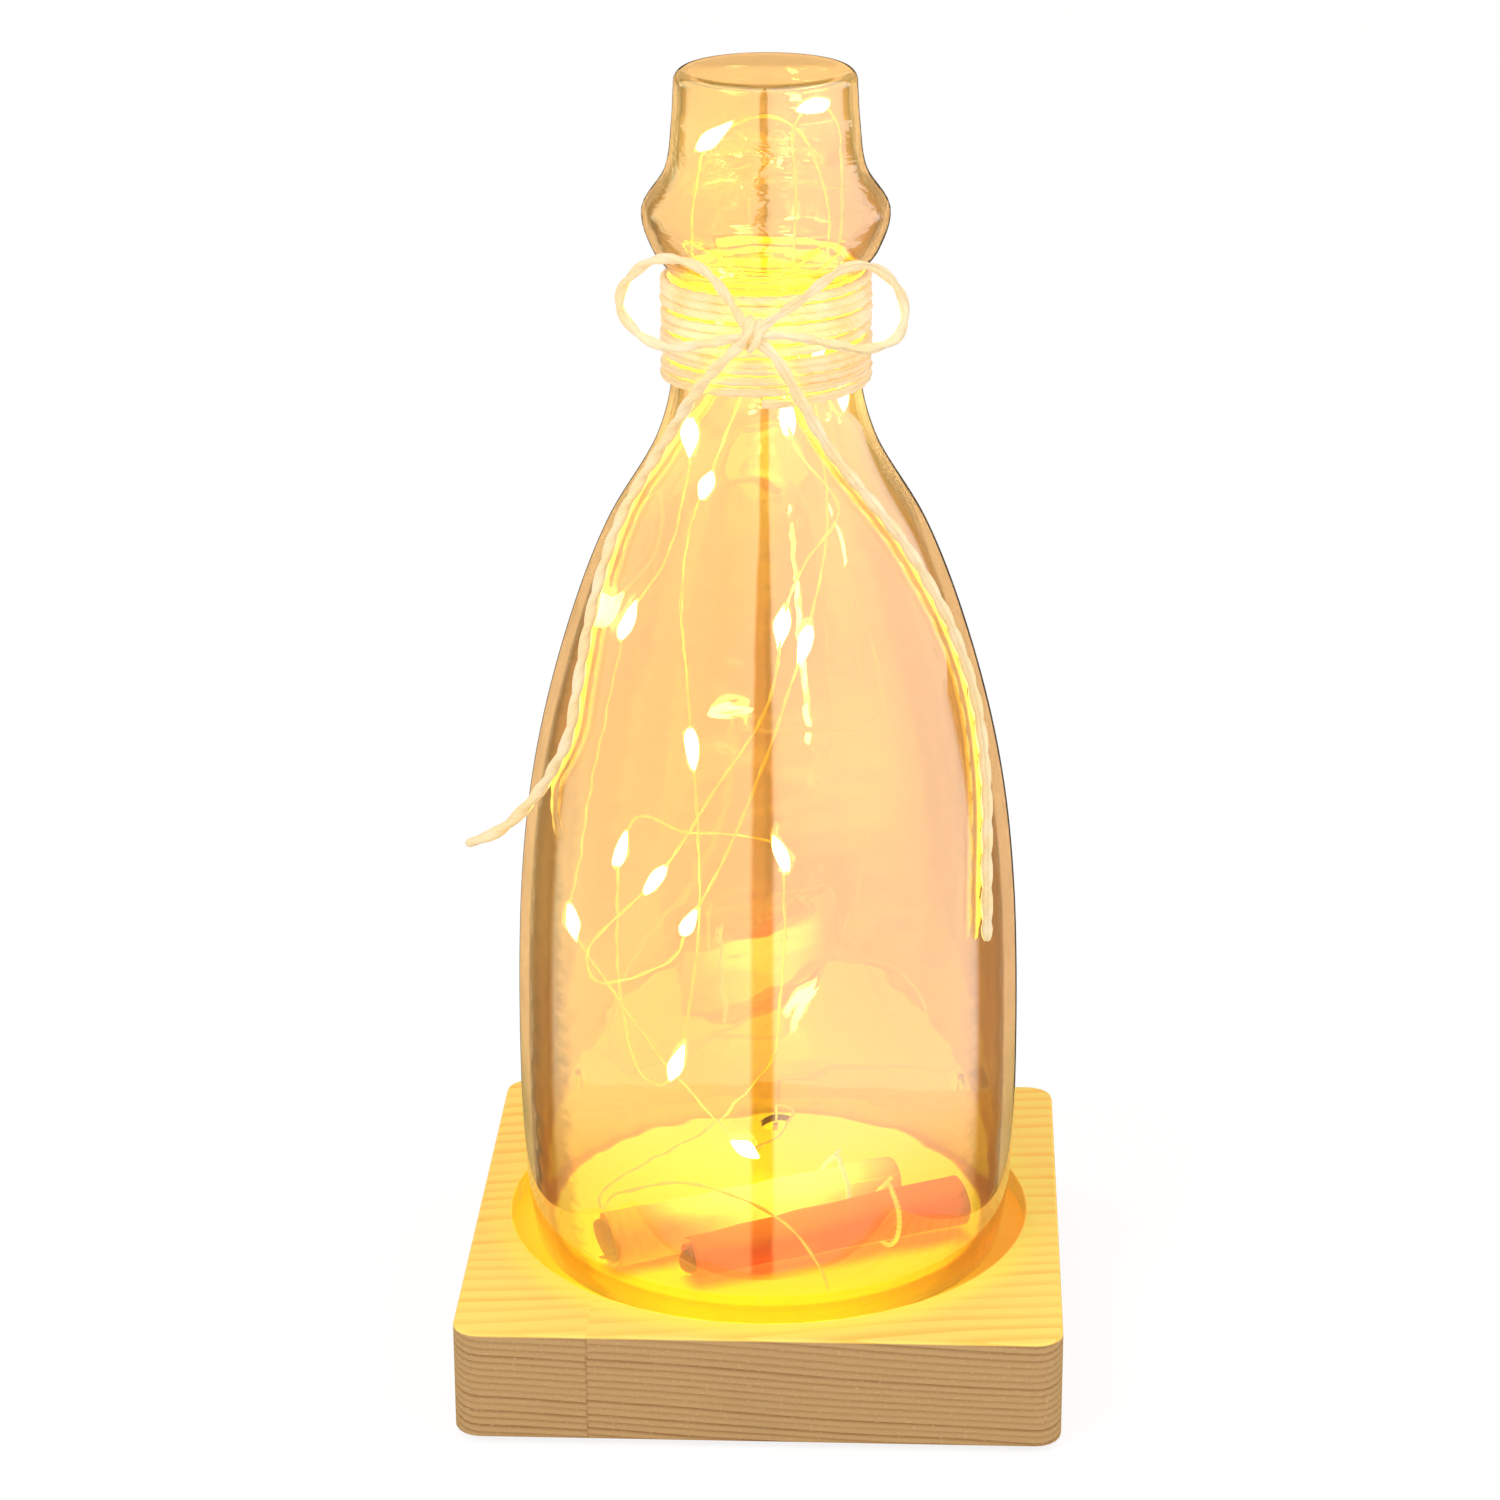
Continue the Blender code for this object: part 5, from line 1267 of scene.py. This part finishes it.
@dataclass
class NeckTwine:
    """Two-ply twine wound on the neck and tied in a bow with two long tails."""

    neck_radius: float = 0.0154
    wrap_radius: float = 0.00083
    wrap_bottom: float = 0.1684
    wrap_top: float = 0.1862
    turns: float = 10.6
    wander: float = 0.00030
    quiver: float = 0.00026
    looseness: float = 0.00008
    step: float = 0.0004
    knot_radius: float = 0.00100
    knot_reach: float = 0.00135
    knot_height: float = 0.00205
    bow_radius: float = 0.00088
    tail_radius: float = 0.00104
    lay: float = 0.0110
    knot: Triple = (-0.0015, -0.01905, 0.1803)
    left_loop: tuple[Triple, ...] = (
        (-9.0, -19.4, 10.4), (-16.2, -17.6, 11.6), (-21.6, -15.4, 7.0), (-22.4, -15.0, 3.2),
        (-19.4, -16.2, -0.8), (-14.8, -18.0, -2.4), (-9.5, -19.2, -1.6),
    )
    right_loop: tuple[Triple, ...] = (
        (6.0, -19.8, 5.6), (13.6, -18.6, 10.8), (18.4, -16.8, 9.9), (22.2, -14.8, 4.4),
        (21.6, -15.2, -0.9), (17.0, -17.0, -2.7), (10.6, -18.8, -1.4), (5.6, -19.4, -0.2),
    )
    left_tail: tuple[Triple, ...] = (
        (-5.8, -18.6, -4.2), (-9.4, -16.0, -8.8), (-12.4, -12.8, -13.8), (-15.0, -10.0, -18.8),
        (-20.0, -8.6, -27.4), (-25.2, -12.6, -39.4), (-27.6, -15.6, -48.8), (-29.4, -18.6, -58.0),
        (-31.4, -20.6, -67.2), (-36.4, -17.2, -77.2), (-43.0, -16.4, -84.6), (-49.0, -16.4, -87.4),
    )
    right_tail: tuple[Triple, ...] = (
        (2.4, -18.8, -4.0), (6.0, -17.0, -11.0), (10.8, -14.8, -20.0), (17.0, -14.2, -28.4),
        (25.2, -13.6, -40.2), (31.0, -11.8, -52.8), (34.4, -12.2, -63.0), (36.2, -15.6, -75.4),
        (36.6, -20.0, -89.4), (36.8, -22.0, -101.0),
    )

    def winding(self) -> Piece:
        """A helix whose rise wanders a little from turn to turn, as hand-wound twine does."""
        angle = np.linspace(0, TAU * self.turns, int(150 * self.turns))
        share = angle / angle[-1]
        wander = self.wander * np.sin(angle * 0.37 + 1.0) * np.sin(math.pi * share)
        height = self.wrap_bottom + (self.wrap_top - self.wrap_bottom) * share
        height = height + wander + self.quiver * np.sin(angle * 1.19 - 0.6)
        reach = self.neck_radius + self.wrap_radius + self.looseness * (1 + np.sin(angle * 1.7))
        turn = angle - math.pi * 0.5
        path = np.stack([reach * np.cos(turn), reach * np.sin(turn), height], axis=1)
        return tube("neck_winding", path, plied(self.wrap_radius, 3, self.lay, 0.68), 12)

    def in_frame(self, route: Iterable[Sequence[float]]) -> Array:
        """A bow route in the lamp's frame, in metres."""
        return np.array(list(route), float) * MM + [0, 0, self.knot[2]]

    def laid(self, points: Array, radius: float, outer: Callable[[Array], Array]) -> Array:
        """The curve through the points, moved out from the axis where it would cut into what it lies on."""
        path = even_path(smooth_path(points), self.step)
        height = path[:, 2]
        least = outer(height)
        on_wrap = (height > self.wrap_bottom - 0.001) & (height < self.wrap_top + 0.001)
        least = np.where(on_wrap, np.maximum(least, self.neck_radius + 2 * self.wrap_radius), least) + radius
        across = np.linalg.norm(path[:, :2], axis=1)
        return np.column_stack([path[:, :2] * (np.maximum(across, least) / across)[:, None], height])

    def knot_turns(self) -> Piece:
        """The knot: one and a half turns of twine over the crossing, leaning to the left."""
        angle = np.linspace(-0.25 * TAU, 1.35 * TAU, 90)
        share = np.linspace(-1, 1, len(angle))
        x = self.knot[0] + 0.0011 * share + 0.0004 * np.sin(angle)
        y = self.knot[1] + 0.0004 - self.knot_reach * np.cos(angle)
        z = self.knot[2] + self.knot_height * np.sin(angle) - 0.0005 * share
        path = np.stack([x, y, z], axis=1)
        return tube("bow_knot_turns", path, plied(self.knot_radius, 2, self.lay), 14)

    def build(self, shop: Workshop, outer: Callable[[Array], Array]) -> None:
        shop.dress(self.winding(), WRAP_TWINE, Body.GLASS, "neck_twine_wrap")
        shop.dress(self.knot_turns(), TWINE, Body.GLASS, "bow_knot")
        centre = np.array(self.knot)
        for side, route in (("left", self.left_loop), ("right", self.right_loop)):
            path = self.laid(np.vstack([centre, self.in_frame(route), centre]), self.bow_radius, outer)
            loop = tube("bow_" + side + "_loop", path, plied(self.bow_radius, 2, self.lay, 0.64), 14)
            shop.dress(loop, TWINE, Body.GLASS, "bow_loop_" + side)
        for side, route in (("left", self.left_tail), ("right", self.right_tail)):
            path = self.laid(np.vstack([centre, self.in_frame(route)]), self.tail_radius, outer)
            length = float(marks_of(path)[-1])
            outline = worn_end(plied(self.tail_radius, 2, self.lay, 0.72), length)
            tail = tube("twine_" + side + "_tail", path, outline, 14)
            shop.dress(tail, TWINE, Body.GLASS, "twine_tail_" + side)


# The bottle

@dataclass
class Bottle:
    """Blown bottle: a turned wall that is thick in its body and thin at its rim and neck."""

    rim: float = GLASS_RIM
    height: float = 0.202
    crown_edge: Pair = (0.0146, 0.2000)
    crown_flat: float = 0.0125
    crown_thickness: float = 0.0013
    corner: float = 0.0012
    steps: int = 180
    swell: float = 0.000014
    ripple: float = 0.00004
    ripple_start: float = 0.176
    light_reach: float = 0.008
    light_core: float = 0.003
    stations: tuple[Pair, ...] = (
        (0.0400, 0.0), (0.0413, 0.0085), (0.0423, 0.027), (0.0415, 0.0645), (0.0386, 0.0875),
        (0.0328, 0.1100), (0.0263, 0.1270), (0.0180, 0.1415), (0.0154, 0.1510), (0.0154, 0.1600),
        (0.0154, 0.1690), (0.0182, 0.1732), (0.0199, 0.1795), (0.0161, 0.1860), (0.0150, 0.1935),
        (0.0146, 0.2000),
    )
    walls: tuple[Pair, ...] = (
        (0.0, 0.0020), (0.110, 0.0020), (0.150, 0.0017), (0.202, 0.0015),
    )

    def outer(self) -> Array:
        """Outer wall from rim to crown as (radius, height above the rim) rows, with its rounded crown."""
        wall = even_path(smooth_path(self.stations, 16), 0.0012)
        angle = np.linspace(0, math.pi / 2, 13)[1:]
        edge_radius, edge_height = self.crown_edge
        crown = np.column_stack([
            self.crown_flat + (edge_radius - self.crown_flat) * np.cos(angle),
            edge_height + (self.height - edge_height) * np.sin(angle),
        ])
        return np.vstack([wall, crown])

    def outer_radius(self, level: Array) -> Array:
        """Outer radius at levels of the lamp's frame, and 0 above the crown."""
        wall = self.outer()
        return np.interp(level - self.rim, wall[:, 1], wall[:, 0], left=wall[0, 0], right=0.0)

    def profile(self) -> Array:
        """Outer wall from the crown down, the rounded rim, and the inner wall a wall's thickness in."""
        outer = self.outer()
        slope = unit(np.gradient(outer, axis=0))
        heights, thickness = np.array(self.walls).T
        wall = np.interp(outer[:, 1], heights, thickness)
        inner = outer + np.column_stack([-slope[:, 1], slope[:, 0]]) * wall[:, None]
        top = self.height - self.crown_thickness
        inner = inner[(inner[:, 1] < top - 0.0004) & (inner[:, 0] > 0.002)]
        bend = np.linspace(0, math.pi / 2, 7)[1:-1]
        reach, level = inner[-1]
        corner = np.column_stack([
            reach - self.corner * (1 - np.cos(bend)), level + (top - level) * np.sin(bend),
        ])
        half = self.walls[0][1] / 2
        middle = outer[0, 0] - half
        round_rim = np.linspace(0, math.pi, 11)
        rim = np.column_stack([middle + half * np.cos(round_rim), half - half * np.sin(round_rim)])
        keep_out = outer[outer[:, 1] > half * 1.2]
        keep_in = inner[inner[:, 1] > half * 1.2]
        rows = np.vstack([[0.0, self.height], keep_out[::-1], rim, keep_in, corner, [0.0, top]])
        return rows + [0.0, self.rim]

    def waver(self, profile: Array) -> Relief:
        """Unevenness of the blown inner wall: long swells in the body, and flat ripples in the head.

        Args:
            profile: the wall's profile.

        Returns:
            A function for revolve, which is 0 on the outer wall.
        """
        rows = profile[1:-1]
        height = rows[:, 1] - self.rim
        lowest = int(np.argmin(rows[:, 1]))
        inside = np.clip((np.arange(len(rows)) - lowest) / 8, 0, 1)
        inside = inside * np.clip((self.height - height) / 0.008, 0, 1)
        head = np.clip((height - self.ripple_start) / 0.004, 0, 1)

        def offset(row: Array, turn: Array) -> Array:
            """Sums of sines of the height and the angle, with unlike wavelengths."""
            level = height[row]
            swell = (
                np.sin(5 * turn + 310 * level) + 0.7 * np.sin(9 * turn - 620 * level + 1.3)
                + 0.6 * np.sin(14 * turn + 1150 * level + 0.4) + 0.35 * np.sin(3 * turn + 2100 * level)
            )
            ripple = np.sin(1750 * level + 1.2 * np.sin(2 * turn + 0.5))
            ripple = ripple + 0.5 * np.sin(3100 * level + 2 * turn)
            return inside[row] * (self.swell * swell + self.ripple * head[row] * ripple)

        return offset

    def nearness(self, bottle: Piece, lights: Array) -> None:
        """Keeps on each vertex the sum over the lights of the square of a reach over the distance to it."""
        count = len(bottle.data.vertices)
        points = np.empty(count * 3, np.float32)
        bottle.data.vertices.foreach_get("co", points)
        away = np.linalg.norm(points.reshape(-1, 1, 3) - lights[None], axis=2)
        total = (self.light_reach ** 2 / (away ** 2 + self.light_core ** 2)).sum(axis=1)
        layer = bottle.data.attributes.new(name="nearness", type="FLOAT", domain="POINT")
        layer.data.foreach_set("value", total.astype(np.float32))

    def build(self, shop: Workshop, lights: Array) -> None:
        """Makes the bottle, with a painted glow that grows near the lights."""
        profile = self.profile()
        bottle = revolve("amber_bottle", profile, self.steps, self.waver(profile))
        self.nearness(bottle, lights)
        shop.dress(bottle, GLASS, Body.GLASS, "glass_bottle")


# Paper scrolls

@dataclass
class Scroll:
    """A sheet of paper rolled into a slim cone and tied with thread."""

    name: str
    node: str
    line: tuple[float, float, float, float]
    left_radius: float
    right_radius: float
    tie_at: float
    paper: Finish
    thread: Finish
    turn: float
    telescope: float = 0.0016
    gap: float = 0.0003
    tie_diameter: float = 0.0006
    thread_radius: float = 0.0005
    thickness: float = 0.00022
    layer: float = 0.00095
    turns: float = 2.4
    wave: float = 0.00012
    grid: tuple[int, int] = (60, 190)
    tie_angles: Pair = (0.56 * math.pi, 2.44 * math.pi)
    thread_lay: float = 0.0018
    thread_step: float = 0.00022

    def axis(self) -> tuple[Array, Array, Array, Array]:
        """The roll's start, and unit vectors along it, across it and up from it."""
        flat = np.array([*self.line[2:], 0.0]) - [*self.line[:2], 0.0]
        low = BASE_TOP + self.gap + self.left_radius
        high = BASE_TOP + 2 * self.gap + self.tie_diameter + self.tie_radius()
        way = unit(flat + [0, 0, self.length() * (high - low) / self.tie_at])
        across = unit(np.cross([0.0, 0.0, 1.0], way))
        return np.array([*self.line[:2], low]), way, across, np.cross(way, across)

    def length(self) -> float:
        """The roll's length, seen from above."""
        return math.dist(self.line[:2], self.line[2:])

    def tie_radius(self) -> float:
        """The roll's radius at its tie."""
        return self.left_radius + (self.right_radius - self.left_radius) * self.tie_at / self.length()

    def around(self, along: Array, reach: Array, angle: Array) -> Array:
        """Points at a distance along the roll, a reach from its axis, and an angle round it."""
        start, way, across, up = self.axis()
        out = across * np.cos(angle)[..., None] + up * np.sin(angle)[..., None]
        return start + way * along[..., None] + out * reach[..., None]

    def sheet(self) -> Piece:
        """The spiral's radius shrinks by a layer each turn, and its inner layers slide out at the ends."""
        rows, columns = self.grid
        share = np.linspace(0, 1, rows)[:, None]
        angle = np.linspace(0, TAU * self.turns, columns)[None, :]
        radius = self.left_radius + (self.right_radius - self.left_radius) * share - self.layer * angle / TAU
        radius = radius + self.wave * np.sin(3 * angle + 5 * share) * (1 - angle / angle[0, -1])
        slide = self.telescope * (angle / TAU) * (0.35 + 0.25 * np.sin(angle * 1.3))
        along = self.length() * share - slide * (1 - 1.6 * share)
        turned = angle + self.turn + 0.25 * share
        outer = self.around(along, radius, turned)
        inner = self.around(along, radius - self.thickness, turned)
        uv = np.stack([along / MM, np.broadcast_to(angle * 10 / TAU, turned.shape)], axis=-1)
        return facing_out(thick_sheet(self.name, outer, inner, uv))

    def tie(self) -> Piece:
        """Thread round the roll, with its ends twisted together on top."""
        _, way, across, up = self.axis()
        angle = np.linspace(*self.tie_angles, 110)
        reach = np.full(len(angle), self.tie_radius() + self.gap + self.tie_diameter / 2)
        ring = self.around(self.tie_at + 0.0007 * np.sin(angle), reach, angle)
        out = up * 0.0010 + across * 0.0004
        path = smooth_path(np.vstack([
            ring[0] + out * 1.6 - way * 0.0006, ring[0] + out * 0.7, ring[2:-2:6],
            ring[-1] + out * 0.7, ring[-1] + out * 1.5 + way * 0.0012,
        ]), 4)
        outline = plied(self.thread_radius, 2, self.thread_lay)
        return tube(self.name + "_thread", even_path(path, self.thread_step), outline, 10)

    def build(self, shop: Workshop) -> None:
        """Makes the roll and its thread."""
        shop.dress(self.sheet(), self.paper, Body.BASE, self.node)
        shop.dress(self.tie(), self.thread, Body.BASE, self.node + "_tie")


# Wooden base and what is let into it

@dataclass
class Woodwork:
    """The pine base and its foam pads."""

    def build(self, shop: Workshop) -> None:
        """Dresses the base and the pads."""
        block = refined("wood_base", "pine_block", 60.0)
        block.modifiers.new("even_shading", "WEIGHTED_NORMAL").keep_sharp = True
        shop.dress(block, PINE, Body.BASE)
        for corner in ("front_left", "front_right", "back_left", "back_right"):
            shop.dress(refined("foam_pad_" + corner, "foam_disc_" + corner), FOAM, Body.BASE)


@dataclass
class BatteryBay:
    """The battery case, its door, the cells, the contacts, the switch and the lead."""

    plain: tuple[tuple[str, str, Finish, Body], ...] = (
        ("battery_case", "case_shell", BLACK_PLASTIC, Body.BASE),
        ("battery_case_back", "case_back_plate", BLACK_PLASTIC, Body.BASE),
        ("battery_door", "case_door", BLACK_PLASTIC, Body.DOOR),
        ("door_screw", "door_pan_screw", STEEL, Body.DOOR),
        ("case_screw_left", "case_pan_screw_left", STEEL, Body.BASE),
        ("case_screw_right", "case_pan_screw_right", STEEL, Body.BASE),
        ("coin_cell_lower", "lower_cell", STEEL, Body.BASE),
        ("coin_cell_upper", "upper_cell", STEEL, Body.BASE),
        ("negative_contact", "leaf_contact", NICKEL, Body.BASE),
        ("positive_contact", "side_contact", NICKEL, Body.BASE),
        ("switch_shell", "switch_can", STEEL, Body.BASE),
        ("switch_slider", "switch_thumb", WHITE_PLASTIC, Body.SWITCH),
        ("battery_lead", "clear_lead", INSULATION, Body.BASE),
    )

    def build(self, shop: Workshop) -> None:
        """Dresses each piece."""
        for node, name, finish, body in self.plain:
            shop.dress(refined(node, name), finish, body)


def main() -> None:
    """Builds the lamp and its stage in order."""
    logging.basicConfig(level=logging.INFO, format="%(message)s")
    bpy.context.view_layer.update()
    Studio().build()
    shop = Workshop()
    bottle = Bottle()
    string = LightString()
    string.build(shop)
    NeckTwine().build(shop, bottle.outer_radius)
    bottle.build(shop, string.centres())
    Scroll(
        "cream_roll", "scroll_cream", CREAM_LINE, 0.0053, 0.0046, 0.041, CREAM_PAPER, SILVER_THREAD, 2.2,
    ).build(shop)
    Scroll(
        "red_roll", "scroll_red", RED_LINE, 0.0037, 0.0046, 0.035, RED_PAPER, GOLD_THREAD, 0.9,
    ).build(shop)
    Woodwork().build(shop)
    BatteryBay().build(shop)


if __name__ == "__main__":
    main()
